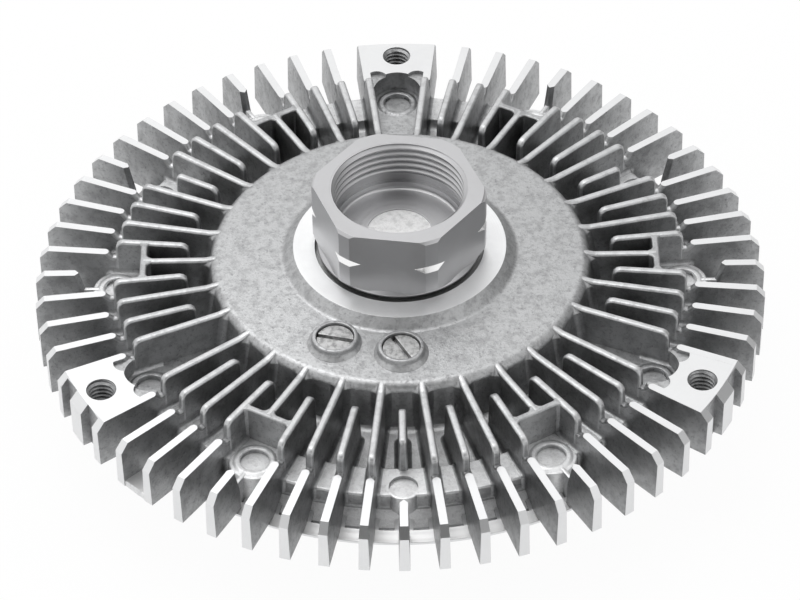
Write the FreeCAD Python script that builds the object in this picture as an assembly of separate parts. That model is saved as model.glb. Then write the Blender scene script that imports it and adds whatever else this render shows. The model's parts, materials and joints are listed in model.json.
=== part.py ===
import FreeCAD, Part
import math
import os

from FreeCAD import Vector

os.makedirs("parts", exist_ok=True)

# A viscous fan clutch, lying as it stands on a bench: the coupling nut points up (+Z) and the
# finned cover is underneath. The origin is the centre of the machined plane that the fan bolts to.
# All sizes are in millimetres.

# How far a cutting shape reaches past what it cuts, and a joined shape into what it joins
PAST = 1.0
INTO = 0.5

# Rotor and working chamber, which the sizes around them follow
ROTOR_R = 57.0
CHAMBER_CLEARANCE = 0.6
LAND_WIDTH = 1.2
LAND_GAP = 0.3
LAND_FACE_GAP = 0.4
REAR_LAND_HEIGHT = 3.0
FRONT_LAND_HEIGHT = 2.4
REAR_LAND_COUNT = 6
FRONT_LAND_COUNT = 5
ROTOR_WEB = 2.2
ROTOR_HUB_R = 12.5
ROTOR_HUB_FILLET = 1.5
ROTOR_PORT_R = 3.0
ROTOR_PORT_CIRCLE_R = 31.0
ROTOR_PORT_COUNT = 6
ROTOR_SHOULDER_HEIGHT = 1.0
ROTOR_SHOULDER_INSET = 0.2
ROTOR_HUB_PROUD = 0.4

# Outer fins of the housing
FIN_COUNT = 60
FIN_OVERHANG = 7.8
FIN_BOTTOM_Z = -10.6
FIN_CHAMFER_LENGTH = 1.8
FIN_CHAMFER_DROP = 1.95
FIN_FLAT_SETBACK = 0.2
FIN_WIDTH_AT_PLANE = 1.7
FIN_WIDTH_AT_BOTTOM = 2.2
FIN_EDGE_ROUND = 0.5
FIN_ROOT_DEPTH = 1.5
SHORT_FIN_INSET = 1.0
SHORT_FIN_SLOPE = 1.2
SHORT_FIN_NOSE = 0.6

# Inner, taller part of the fins, as cast
TALL_TOP_Z = 3.3
TALL_END_INSET = 1.8
TALL_START = 4.2
TALL_CORNER = 1.6
TALL_DRAFT = 0.2
NOTCH_Z = -1.0
NOTCH_LENGTH = 0.8
NOTCH_FILLET = 0.3
STUB_OVERHANG = 0.5
WEB_OVERHANG = 0.1
WEB_WIDTH = 1.4

# Dish, floor and foot of the housing
DISH_RIM_R = 39.4
DISH_RIM_Z = 3.8
DISH_RIM_FILLET = 2.0
DISH_INNER_Z = 4.5
DISH_WALL = 3.1
DISH_SLOPE = 1.2
BOSS_R = 21.8
BOSS_Z = 5.5
BOSS_FLANK = 1.5
BOSS_FILLET = 0.8
FLOOR_Z = -6.6
FLOOR_WALL = 2.4
FLOOR_FILLET = 1.6
FLANGE_Z = -4.6
FLANGE_WIDTH = 7.5
FLANGE_RISE = 0.8
FLANGE_EDGE = 0.5
FLANGE_WALL = 3.1
FLANGE_DROP = 3.3
FLANGE_FOOT_FILLET = 0.8
FOOT_SLOPE_WIDTH = 3.2
FOOT_WIDTH = 3.3
FOOT_EDGE = 0.7
FOOT_GROOVE = 0.5
FOOT_STEP = 0.2

# Rolled edge that holds the cover
COVER_FLANGE_WIDTH = 3.3
LIP_COVER = 1.5
LIP_GAP = 0.5
LIP_THICKNESS = 1.4
LIP_FILLET = 0.5

# Fan pads
PAD_COUNT = 3
PAD_FIRST_AZIMUTH = 90.0
PAD_HOLE_INSET = 6.0
PAD_HOLE_R = 2.5
PAD_HOLE_MOUTH_R = 3.25
PAD_INNER_INSET = 1.1
PAD_STEP_Z = -0.5
POCKET_R = 5.1
DIMPLE_R = 2.3
DIMPLE_DEPTH = 0.8
DIMPLE_INSET = 7.5
DIMPLE_OFFSET = 4.4
PAD_RECESS_DEPTH = 3.2
PAD_RECESS_TOP_Z = -1.3
PAD_RECESS_WIDTH = 4.3
PAD_RIB_WIDTH = 4.7

# Round ejector marks, their seats and the low ribs beside them
MARK_INSET = 2.5
MARK_R = 2.9
MARK_DEPTH = 0.5
MARK_RIM_R = 4.3
MARK_RIM_HEIGHT = 0.3
LOBE_R = 4.3
WIDE_LOBE_R = 5.2
RIB_WIDTH = 1.1
RIB_TOP_Z = -4.4

# Web cast across the foot of one gap
FOOT_WEB_AZIMUTH = 225.0
FOOT_WEB_DEPTH = 4.8
FOOT_WEB_SETBACK = 0.2
FOOT_WEB_THICKNESS = 1.4

# Ball bearing, 17 x 35 x 10
BEARING_BORE_R = 8.5
BEARING_OUTER_R = 17.5
BEARING_WIDTH = 10.0
BEARING_TOP_Z = 3.5
BALL_SHARE = 1 / 3
BALL_COUNT = 9
BALL_CLEARANCE = 0.1
SHOULDER_SHARE = 8 / 15
SEAL_WIDTH = 0.8
SEAL_INSET = 0.2
SEAL_SEAT = 0.4
SEAL_GAP = 0.3
CAGE_GAP = 0.6
CAGE_BACK_SHARE = 0.55
CAGE_FINGER = 0.8
SLEEVE_WALL = 3.5
SLEEVE_END = 1.4
SLEEVE_FILLET = 1.0
CIRCLIP_WIDTH = 1.5
CIRCLIP_DEPTH = 1.0
CIRCLIP_RADIAL = 2.4
CIRCLIP_OPENING = 40.0
CIRCLIP_EYE_ANGLE = 5.0
CIRCLIP_EYE_R = 1.9
CIRCLIP_EYE_HOLE_R = 0.9
CIRCLIP_EYE_INSET = 0.3

# Coupling nut and shaft, one steel turning with a left-hand thread
NUT_ACROSS_FLATS = 32.0
NUT_CORNER_R = 17.75
NUT_CORNER_AZIMUTH = 51.0
NUT_TOP_Z = 21.9
NUT_BOTTOM_Z = 7.4
NUT_CHAMFER = 1.2
NUT_CHAMFER_R = 15.9
MARK_GROOVE_DEPTH = 0.65
THREAD_R = 13.2
THREAD_MOUTH_R = 14.0
THREAD_END_Z = 13.9
RELIEF_R = 14.0
STEP_Z = 11.0
STEP_WIDTH = 0.9
BORE_FLOOR_Z = 10.3
BORE_SPOT_R = 6.6
BORE_SPOT_DEPTH = 0.3
COLLAR_R = 11.2
COLLAR_GAP = 1.0
ROTOR_SEAT_R = 7.5
RIVET_HEAD_R = 9.0
RIVET_HEAD = 0.9
RIVET_HEAD_BEVEL = 0.6

# Front cover
COVER_FLANGE = 1.5
COVER_SEAT_Z = -14.5
COVER_WALL = 2.7
COVER_DRAFT = 0.4
COVER_RIM_FILLET = 1.5
COVER_ROOT_FILLET = 2.0
DOME_WALL_SIDE = 1.6
DOME_FLANK = 3.6
DOME_FILLET = 1.0
RESERVOIR_R = 35.0
RESERVOIR_DEPTH = 3.2
RESERVOIR_FILLET = 1.0
DOME_WALL = 2.4
COVER_FIN_COUNT = 36
COVER_FIN_WIDTH = 1.8
COVER_FIN_START = 2.6
COVER_FIN_SLOPE = 1.2
COVER_FIN_SHOULDER = 10.6
COVER_FIN_END_INSET = 1.3
COVER_FIN_TIP_HEIGHT = 1.1
COVER_FIN_CORNER = 1.5
COVER_FOOT_Z = -28.0
SEAL_CORD_R = 0.75
SEAL_CORD_SQUASH = 0.8
SEAL_CORD_FIT = 0.95
SEAL_CORD_ROUND = 0.4
SEAL_CORD_STEP = 2.0

# Partition plate, valve lever and switch pin
PLATE_OVERLAP = 4.5
PLATE_THICKNESS = 1.0
PORT_R = 1.5
PORT_X = 14.0
RETURN_HOLE_R = 0.9
RETURN_HOLE_INSET = 1.5
PLATE_RIVET_COUNT = 4
PLATE_RIVET_STEP = 2.3
PLATE_RIVET_R = 1.0
PLATE_RIVET_HEAD_R = 1.8
PLATE_RIVET_HEAD = 0.5
PLATE_RIVET_LENGTH = 3.0
LEVER_THICKNESS = 0.5
LEVER_GAP = 0.05
LEVER_ROOT_X = -17.5
LEVER_WIDTH = 8.0
LEVER_PAD_R = 4.2
LEVER_RIVET_X = -12.5
LEVER_RIVET_R = 1.5
LEVER_RIVET_HEAD_R = 2.8
LEVER_RIVET_HEAD = 0.6
LEVER_RIVET_UPSET_R = 2.4
LEVER_RIVET_UPSET = 0.5
LEVER_HOLE_GAP = 0.35
LEVER_RIVET_PLAY = 0.5
PIN_R = 1.97
PIN_BORE_R = 2.03
PIN_END_ROUND = 1.4
PIN_BOSS_R = 5.6
PIN_BOSS_HEIGHT = 1.4
PIN_BOSS_DRAFT = 0.4
PIN_BOSS_ROOT = 0.8
PIN_RING_SECTION_R = 0.66
PIN_RING_GAP = 0.05
PIN_RING_SIDE_GAP = 0.15

# Bimetal strip and its clips
STRIP_LENGTH = 62.0
STRIP_WIDTH = 14.0
STRIP_THICKNESS = 0.8
STRIP_CORNER = 2.0
CLIP_THICKNESS = 0.8
CLIP_SEAT_CUT = 0.15
CLIP_INNER_X = 26.4
CLIP_REACH = 4.6
CLIP_HALF_WIDTH = 12.0
CLIP_CORNER = 1.8
CLIP_BEND = 0.7
CLIP_HOOK_HALF_WIDTH = 6.0
CLIP_PAD_MARGIN = 0.6
CLIP_RIVET_Y = 9.6
CLIP_RIVET_R = 1.1
CLIP_RIVET_HEAD_R = 1.9
CLIP_RIVET_HEAD = 0.7
CLIP_RIVET_LENGTH = 3.2

# Filler plugs
PLUG_CIRCLE_R = 29.4
PLUG_AZIMUTHS = {"1": 243.4, "2": 270.0}
PLUG_SLOT_ANGLES = {"1": -14.2, "2": -61.8}
PLUG_BOSS_TOP_R = 4.6
PLUG_BOSS_FOOT_R = 5.3
PLUG_BOSS_Z = 5.9
PLUG_STEM_COVER = 0.6
PLUG_HEAD_R = 3.7
PLUG_HEAD = 1.4
PLUG_HEAD_SINK = 0.6
PLUG_HEAD_GAP = 0.15
PLUG_WASHER = 0.5
PLUG_SHANK_R = 2.5
PLUG_SHANK = 4.6
PLUG_SLOT_WIDTH = 1.1
PLUG_SLOT_DEPTH = 0.9

# Worked out from the sizes above
Z_AXIS = Vector(0, 0, 1)
ORIGIN = Vector(0, 0, 0)
FIN_STEP = 360.0 / FIN_COUNT
PAD_STEP = 360.0 / PAD_COUNT
FINS_PER_PAD = FIN_COUNT // PAD_COUNT
CHAMBER_R = ROTOR_R + CHAMBER_CLEARANCE
COVER_FLANGE_R = CHAMBER_R + COVER_FLANGE_WIDTH
LIP_INNER_R = COVER_FLANGE_R - LIP_COVER
COVER_WALL_R = LIP_INNER_R - LIP_GAP
FLANGE_OUTER_R = CHAMBER_R + FLANGE_WALL
FLANGE_INNER_R = FLANGE_OUTER_R - FLANGE_WIDTH
FOOT_INNER_R = FLANGE_OUTER_R + FOOT_SLOPE_WIDTH
FOOT_OUTER_R = FOOT_INNER_R + FOOT_WIDTH
FIN_TIP_R = FOOT_OUTER_R + FIN_OVERHANG
FIN_FLAT_R = FLANGE_OUTER_R + FIN_FLAT_SETBACK
FIN_CHAMFER_R = FIN_TIP_R - FIN_CHAMFER_LENGTH
FIN_SHORT_FLAT_R = FOOT_OUTER_R - SHORT_FIN_INSET
TALL_OUTER_R = FLANGE_OUTER_R - TALL_END_INSET
TALL_INNER_R = DISH_RIM_R + TALL_START
STUB_END_R = FLANGE_INNER_R + STUB_OVERHANG
WEB_R = FLANGE_INNER_R + WEB_OVERHANG
MARK_CIRCLE_R = FLANGE_OUTER_R - MARK_INSET
PAD_INNER_R = FLANGE_OUTER_R - PAD_INNER_INSET
PAD_HOLE_CIRCLE_R = FIN_TIP_R - PAD_HOLE_INSET
DIMPLE_CENTRE_R = PAD_HOLE_CIRCLE_R - DIMPLE_INSET
PAD_RECESS_FLOOR_R = FIN_TIP_R - PAD_RECESS_DEPTH
FOOT_WEB_INNER_R = FIN_TIP_R - FOOT_WEB_DEPTH
ROOT_Z = FLOOR_Z - FLOOR_WALL / 2
CHAMBER_TOP_Z = FLOOR_Z - FLOOR_WALL
WEB_TOP_Z = CHAMBER_TOP_Z - REAR_LAND_HEIGHT - LAND_FACE_GAP
WEB_BOTTOM_Z = WEB_TOP_Z - ROTOR_WEB
HUB_BOTTOM_Z = WEB_BOTTOM_Z - ROTOR_HUB_PROUD
COVER_INNER_Z = WEB_BOTTOM_Z - FRONT_LAND_HEIGHT - LAND_FACE_GAP
COVER_OUTER_Z = COVER_INNER_Z - COVER_WALL
LIP_Z = COVER_SEAT_Z - COVER_FLANGE
BEARING_BOTTOM_Z = BEARING_TOP_Z - BEARING_WIDTH
BEARING_MID_Z = BEARING_TOP_Z - BEARING_WIDTH / 2
PITCH_R = (BEARING_BORE_R + BEARING_OUTER_R) / 2
BALL_R = BALL_SHARE * (BEARING_OUTER_R - BEARING_BORE_R)
INNER_RING_R = PITCH_R - SHOULDER_SHARE * BALL_R
OUTER_RING_R = PITCH_R + SHOULDER_SHARE * BALL_R
HUB_HOLE_R = COLLAR_R + COLLAR_GAP
SLEEVE_R = BEARING_OUTER_R + SLEEVE_WALL
SLEEVE_BOTTOM_Z = BEARING_BOTTOM_Z - CIRCLIP_WIDTH - SLEEVE_END
DOME_R = RESERVOIR_R + DOME_WALL_SIDE
COVER_FIN_INNER_R = DOME_R + COVER_FIN_START
COVER_FIN_TIP_R = COVER_WALL_R - COVER_FIN_END_INSET
COVER_FIN_SHOULDER_R = COVER_FIN_TIP_R - COVER_FIN_SHOULDER
COVER_FIN_TIP_Z = COVER_OUTER_Z - COVER_FIN_TIP_HEIGHT
SEAL_CORD_CIRCLE_R = CHAMBER_R + SEAL_CORD_STEP
SEAL_FLOOR_Z = COVER_SEAT_Z - 2 * SEAL_CORD_SQUASH * SEAL_CORD_R
PLATE_R = RESERVOIR_R + PLATE_OVERLAP
PLATE_RIVET_CIRCLE_R = RESERVOIR_R + PLATE_RIVET_STEP
RETURN_HOLE_CIRCLE_R = RESERVOIR_R - RETURN_HOLE_INSET
PLATE_TOP_Z = COVER_INNER_Z + PLATE_THICKNESS
RESERVOIR_Z = COVER_INNER_Z - RESERVOIR_DEPTH
DOME_Z = RESERVOIR_Z - DOME_WALL
PIN_BOSS_Z = DOME_Z - PIN_BOSS_HEIGHT
LEVER_TOP_Z = COVER_INNER_Z - LEVER_GAP
LEVER_BOTTOM_Z = LEVER_TOP_Z - LEVER_THICKNESS
PIN_TOP_Z = LEVER_BOTTOM_Z - LEVER_GAP
CLIP_SEAT_Z = PIN_BOSS_Z + CLIP_SEAT_CUT
STRIP_TOP_Z = CLIP_SEAT_Z - CLIP_THICKNESS
STRIP_BOTTOM_Z = STRIP_TOP_Z - STRIP_THICKNESS
CLIP_BOTTOM_Z = STRIP_BOTTOM_Z - CLIP_THICKNESS
CLIP_OUTER_X = STRIP_LENGTH / 2 + CLIP_THICKNESS
PIN_BOTTOM_Z = STRIP_TOP_Z + LEVER_GAP
PIN_RING_CIRCLE_R = PIN_R + PIN_RING_GAP + PIN_RING_SECTION_R
PIN_RING_Z = RESERVOIR_Z - (DOME_WALL + PIN_BOSS_HEIGHT) / 2
PLUG_TOP_Z = PLUG_BOSS_Z - PLUG_HEAD_SINK
PLUG_HEAD_Z = PLUG_TOP_Z - PLUG_HEAD
PLUG_SEAT_Z = PLUG_HEAD_Z - PLUG_WASHER


def outline(corners):
    """Closed wire in the XZ plane through corners (x, z) or (x, z, fillet radius)."""
    points = [Vector(corner[0], 0, corner[1]) for corner in corners]
    radii = [corner[2] if len(corner) > 2 else 0 for corner in corners]
    count = len(points)
    edges = []
    leaving = []
    arriving = []
    for index, point in enumerate(points):
        back = (points[index - 1] - point).normalize()
        ahead = (points[(index + 1) % count] - point).normalize()
        half = back.getAngle(ahead) / 2
        reach = radii[index] / math.tan(half)
        arriving.append(point + back * reach)
        leaving.append(point + ahead * reach)
        if radii[index] > 0:
            bisector = (back + ahead).normalize()
            middle = point + bisector * (radii[index] / math.sin(half) - radii[index])
            edges.append((index, Part.Arc(arriving[index], middle, leaving[index]).toShape()))
    for index in range(count):
        start = leaving[index]
        end = arriving[(index + 1) % count]
        if start.distanceToPoint(end) > 1e-6:
            edges.append((index + 0.5, Part.LineSegment(start, end).toShape()))
    edges.sort(key=lambda entry: entry[0])
    return Part.Wire([edge for _, edge in edges])


def sound(shape):
    """The shape with its material inside."""
    if shape.Volume < 0:
        shape.reverse()
    return shape


def turned(corners):
    """Solid turned about Z from an outline of (radius, z) corners."""
    return sound(Part.Face(outline(corners)).revolve(ORIGIN, Z_AXIS, 360))


def ring(inner_r, outer_r, low_z, high_z):
    """Plain ring about Z."""
    return turned([(inner_r, low_z), (outer_r, low_z), (outer_r, high_z), (inner_r, high_z)])


def disc(radius, low_z, high_z, x=0.0, y=0.0):
    """Plain cylinder along Z."""
    return Part.makeCylinder(radius, high_z - low_z, Vector(x, y, low_z))


def plank(corners, width):
    """Outline in the XZ plane, given a width along Y and centred on it."""
    face = Part.Face(outline(corners))
    face.translate(Vector(0, -width / 2, 0))
    return sound(face.extrude(Vector(0, width, 0)))


def box(low, high):
    """Block between two corners."""
    size = Vector(*high) - Vector(*low)
    return Part.makeBox(size.x, size.y, size.z, Vector(*low))


def spun(shape, degrees):
    """Copy turned about Z."""
    copy = shape.copy()
    copy.rotate(ORIGIN, Z_AXIS, degrees)
    return copy


def at_polar(radius, azimuth):
    """X and Y of a point given by radius and azimuth in degrees."""
    return radius * math.cos(math.radians(azimuth)), radius * math.sin(math.radians(azimuth))


# Housing

def sector(half_angle, length, low_z, high_z):
    """Upright wedge from the axis, as wide as an angle either side of +X."""
    side = length * math.tan(math.radians(half_angle))
    corners = [Vector(0, 0, low_z), Vector(length, -side, low_z), Vector(length, side, low_z)]
    face = Part.Face(Part.makePolygon(corners + corners[:1]))
    return sound(face.extrude(Vector(0, 0, high_z - low_z)))


def fin_section(low_z, high_z):
    """Drafted wedge that gives a fin its thickness, thinnest and rounded at its top edge."""
    draft = (FIN_WIDTH_AT_BOTTOM - FIN_WIDTH_AT_PLANE) / 2 / -FIN_BOTTOM_Z
    top = FIN_WIDTH_AT_PLANE / 2 - draft * high_z
    bottom = FIN_WIDTH_AT_PLANE / 2 - draft * low_z
    section = outline([
        (-bottom, low_z),
        (bottom, low_z),
        (top, high_z, FIN_EDGE_ROUND),
        (-top, high_z, FIN_EDGE_ROUND),
    ])
    section.rotate(ORIGIN, Z_AXIS, 90)
    return sound(Part.Face(section).extrude(Vector(FIN_TIP_R + PAST, 0, 0)))


def fin(corners, wedge):
    """Fin along +X from its side outline."""
    return plank(corners, 2 * FIN_WIDTH_AT_BOTTOM).common(wedge)


def outer_corners(flat_r):
    """Machined outer end of a fin, from its flat round to its foot."""
    return [
        (flat_r, 0),
        (FIN_CHAMFER_R, 0),
        (FIN_TIP_R, -FIN_CHAMFER_DROP),
        (FIN_TIP_R, FIN_BOTTOM_Z),
    ]


def full_fin(inner_r, corner, wedge):
    """Fin that runs from the dish or its own inner end to the tip."""
    corners = [
        (inner_r, ROOT_Z),
        (inner_r, TALL_TOP_Z, corner),
        (TALL_OUTER_R, TALL_TOP_Z, TALL_CORNER),
        (TALL_OUTER_R + TALL_DRAFT, NOTCH_Z, NOTCH_FILLET),
        (TALL_OUTER_R + NOTCH_LENGTH, NOTCH_Z, NOTCH_FILLET),
    ]
    corners += outer_corners(FIN_FLAT_R)
    corners.append((FLANGE_OUTER_R + FIN_ROOT_DEPTH, FIN_BOTTOM_Z))
    corners.append((FLANGE_OUTER_R - FIN_ROOT_DEPTH, ROOT_Z))
    return fin(corners, wedge)


def short_fin(wedge):
    """Outer end only, its inner end sloping out to a narrow nose."""
    foot_r = FIN_SHORT_FLAT_R - SHORT_FIN_SLOPE
    corners = [(foot_r, FIN_BOTTOM_Z), (foot_r, RIB_TOP_Z)] + outer_corners(FIN_SHORT_FLAT_R)
    blank = fin(corners, wedge)
    nose = [
        edge for edge in blank.Edges
        if edge.BoundBox.XMax < FIN_SHORT_FLAT_R + INTO and edge.BoundBox.ZLength > FIN_WIDTH_AT_BOTTOM
    ]
    return blank.makeFillet(SHORT_FIN_NOSE, nose)


def inner_stub(inner_r, outer_r, inner_corner, outer_corner, wedge):
    """Tall inner part only."""
    corners = [
        (inner_r, ROOT_Z),
        (inner_r, TALL_TOP_Z, inner_corner),
        (outer_r, TALL_TOP_Z, outer_corner),
        (outer_r, ROOT_Z),
    ]
    return fin(corners, wedge)


def fins():
    """Every fin, told apart by its number of steps from the nearest pad."""
    wedge = fin_section(FIN_BOTTOM_Z - PAST, TALL_TOP_Z)
    dish_start = DISH_RIM_R - PAST
    long_fin = full_fin(dish_start, 0, wedge)
    cut_fin = full_fin(TALL_INNER_R, TALL_CORNER, wedge)
    outer_fin = short_fin(wedge)
    bridge = inner_stub(dish_start, WEB_R - WEB_WIDTH / 2, 0, 0, wedge)
    stub = inner_stub(TALL_INNER_R, STUB_END_R, TALL_CORNER, FIN_EDGE_ROUND, wedge)
    half = FINS_PER_PAD // 2
    shapes = []
    for index in range(FIN_COUNT):
        azimuth = PAD_FIRST_AZIMUTH + index * FIN_STEP
        steps = index % FINS_PER_PAD
        steps = min(steps, FINS_PER_PAD - steps)
        if steps == 0:
            continue
        if steps == half // 2:
            pieces = [outer_fin, bridge]
        elif steps == half:
            pieces = [outer_fin, stub]
        elif steps % 2:
            pieces = [long_fin]
        else:
            pieces = [cut_fin]
        shapes += [spun(piece, azimuth) for piece in pieces]
    return shapes


def housing_blank():
    """Turned form of the housing, without fins and pads."""
    bevel_top_z = FIN_BOTTOM_Z - FOOT_EDGE
    lip_bottom_z = LIP_Z - LIP_THICKNESS
    lip_outer_r = FOOT_OUTER_R - (bevel_top_z - lip_bottom_z)
    groove_z = FIN_BOTTOM_Z - FOOT_GROOVE
    return turned([
        (HUB_HOLE_R, BOSS_Z),
        (BOSS_R, BOSS_Z),
        (BOSS_R + BOSS_FLANK, DISH_INNER_Z, BOSS_FILLET),
        (DISH_RIM_R - DISH_SLOPE / 2, DISH_RIM_Z, DISH_RIM_FILLET),
        (DISH_RIM_R + DISH_SLOPE, FLOOR_Z, FLOOR_FILLET),
        (FLANGE_INNER_R - FLANGE_RISE, FLOOR_Z, FLOOR_FILLET),
        (FLANGE_INNER_R, FLANGE_Z, NOTCH_FILLET),
        (FLANGE_OUTER_R, FLANGE_Z, FLANGE_EDGE),
        (FLANGE_OUTER_R, FLANGE_Z - FLANGE_DROP, FLANGE_FOOT_FILLET),
        (FOOT_INNER_R, FIN_BOTTOM_Z + FOOT_STEP),
        (FOOT_INNER_R, groove_z),
        (FOOT_INNER_R + FOOT_GROOVE, groove_z),
        (FOOT_INNER_R + FOOT_GROOVE, FIN_BOTTOM_Z),
        (FOOT_OUTER_R, FIN_BOTTOM_Z),
        (FOOT_OUTER_R, bevel_top_z),
        (lip_outer_r, lip_bottom_z),
        (LIP_INNER_R, lip_bottom_z, LIP_FILLET),
        (LIP_INNER_R, LIP_Z),
        (COVER_FLANGE_R, LIP_Z),
        (COVER_FLANGE_R, COVER_SEAT_Z),
        (CHAMBER_R, COVER_SEAT_Z),
        (CHAMBER_R, CHAMBER_TOP_Z),
        (DISH_RIM_R - DISH_SLOPE, CHAMBER_TOP_Z),
        (DISH_RIM_R - 2 * DISH_SLOPE, DISH_RIM_Z - DISH_WALL, DISH_RIM_FILLET),
        (SLEEVE_R, DISH_INNER_Z - DISH_WALL, SLEEVE_FILLET),
        (SLEEVE_R, SLEEVE_BOTTOM_Z),
        (BEARING_OUTER_R, SLEEVE_BOTTOM_Z),
        (BEARING_OUTER_R, BEARING_TOP_Z),
        (HUB_HOLE_R, BEARING_TOP_Z),
    ])


def rear_land_radii():
    """Outer radius of each rotor land on the housing side."""
    pitch = 2 * (LAND_WIDTH + LAND_GAP)
    return [ROTOR_R - pitch * index for index in range(REAR_LAND_COUNT)]


def front_land_radii():
    """Outer radius of each rotor land on the cover side."""
    return rear_land_radii()[:FRONT_LAND_COUNT]


def mating_lands(radii, low_z, high_z):
    """Rings that stand in the gaps between the rotor lands."""
    outer = [radius - LAND_WIDTH - LAND_GAP for radius in radii[:-1]]
    return [ring(radius - LAND_WIDTH, radius, low_z, high_z) for radius in outer]


def pad_block():
    """Thick pad along +X, before its hole and recesses are cut."""
    blank = turned([
        (PAD_INNER_R, ROOT_Z),
        (PAD_INNER_R, PAD_STEP_Z),
        (FIN_FLAT_R, PAD_STEP_Z),
        (FIN_FLAT_R, 0),
        (FIN_CHAMFER_R, 0),
        (FIN_TIP_R, -FIN_CHAMFER_DROP),
        (FIN_TIP_R, FIN_BOTTOM_Z),
        (FLANGE_OUTER_R + FIN_ROOT_DEPTH, FIN_BOTTOM_Z),
    ])
    return blank.common(sector(FIN_STEP, FIN_TIP_R + PAST, FIN_BOTTOM_Z - PAST, PAST))


def pad_channel():
    """Floor of the gap behind a pad, level with the flange, along +X."""
    blank = ring(DISH_RIM_R - PAST, FLANGE_INNER_R + PAST, ROOT_Z, FLANGE_Z)
    return blank.common(sector(FIN_STEP, FIN_TIP_R, ROOT_Z - PAST, FLANGE_Z + PAST))


def pad_cuts():
    """Hole, pocket, dimples and end recesses of one pad along +X."""
    mouth = PAD_HOLE_MOUTH_R - PAD_HOLE_R
    hole = disc(PAD_HOLE_R, FIN_BOTTOM_Z - PAST, PAST, PAD_HOLE_CIRCLE_R)
    mouth_low = Vector(PAD_HOLE_CIRCLE_R, 0, -mouth)
    cone = Part.makeCone(PAD_HOLE_R, PAD_HOLE_MOUTH_R + mouth, 2 * mouth, mouth_low)
    pocket = disc(POCKET_R, FLANGE_Z, PAST, MARK_CIRCLE_R)
    cuts = [hole, cone, pocket]
    for side in (-1, 1):
        cuts.append(disc(DIMPLE_R, -DIMPLE_DEPTH, PAST, DIMPLE_CENTRE_R, side * DIMPLE_OFFSET))
        near = side * PAD_RIB_WIDTH / 2
        away = near + side * PAD_RECESS_WIDTH
        low = (PAD_RECESS_FLOOR_R, min(near, away), FIN_BOTTOM_Z - PAST)
        high = (FIN_TIP_R + PAST, max(near, away), PAD_RECESS_TOP_Z)
        cuts.append(box(low, high))
    return cuts


def gap_web():
    """Web across the inner fins either side of a bridge fin, along +X."""
    half_length = WEB_R * math.tan(math.radians(FIN_STEP))
    return box((WEB_R - WEB_WIDTH, -half_length, ROOT_Z), (WEB_R, half_length, TALL_TOP_Z))


def lobe(radius):
    """Round seat under a mark, standing out from the flange's edge, along +X."""
    low_z = FIN_BOTTOM_Z + FOOT_STEP
    seat = disc(radius, low_z, FLANGE_Z, MARK_CIRCLE_R)
    outside = ring(FLANGE_OUTER_R - FLANGE_WALL / 2, FIN_TIP_R, low_z - PAST, FLANGE_Z + PAST)
    return seat.common(outside)


def mark_rim():
    """Raised ring round a mark, along +X."""
    rim = disc(MARK_RIM_R, FLANGE_Z - INTO, FLANGE_Z + MARK_RIM_HEIGHT, MARK_CIRCLE_R)
    return rim.cut(disc(MARK_R, FLANGE_Z - PAST, PAST, MARK_CIRCLE_R))


def low_rib():
    """Low rib between a mark's seat and the short fin outside it, along +X."""
    start_r = MARK_CIRCLE_R + (MARK_R + MARK_RIM_R) / 2
    return box((start_r, -RIB_WIDTH / 2, FIN_BOTTOM_Z + FOOT_STEP),
               (FIN_SHORT_FLAT_R - SHORT_FIN_NOSE, RIB_WIDTH / 2, RIB_TOP_Z))


def plug_boss(azimuth):
    """Raised round boss on the dish for a filler plug, with its inner stem."""
    x, y = at_polar(PLUG_CIRCLE_R, azimuth)
    foot_z = DISH_RIM_Z - INTO
    height = PLUG_BOSS_Z - foot_z
    outside = Part.makeCone(PLUG_BOSS_FOOT_R, PLUG_BOSS_TOP_R, height, Vector(x, y, foot_z))
    stem = disc(PLUG_BOSS_TOP_R, PLUG_SEAT_Z - PLUG_SHANK + PLUG_STEM_COVER, foot_z + INTO / 2, x, y)
    return [outside, stem]


def plug_bore(azimuth):
    """Stepped hole for a filler plug."""
    x, y = at_polar(PLUG_CIRCLE_R, azimuth)
    head_bore = disc(PLUG_HEAD_R + PLUG_HEAD_GAP, PLUG_SEAT_Z, PLUG_BOSS_Z + PAST, x, y)
    return [head_bore, disc(PLUG_SHANK_R, PLUG_SEAT_Z - PLUG_SHANK - PAST, PLUG_SEAT_Z + INTO, x, y)]


def foot_web():
    """Web across the foot of one gap between two fins."""
    half_length = FIN_TIP_R * math.tan(math.radians(FIN_STEP / 2))
    blank = box((FOOT_WEB_INNER_R, -half_length, FIN_BOTTOM_Z),
                (FIN_TIP_R - FOOT_WEB_SETBACK, half_length, FIN_BOTTOM_Z + FOOT_WEB_THICKNESS))
    return spun(blank, FOOT_WEB_AZIMUTH)


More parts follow.
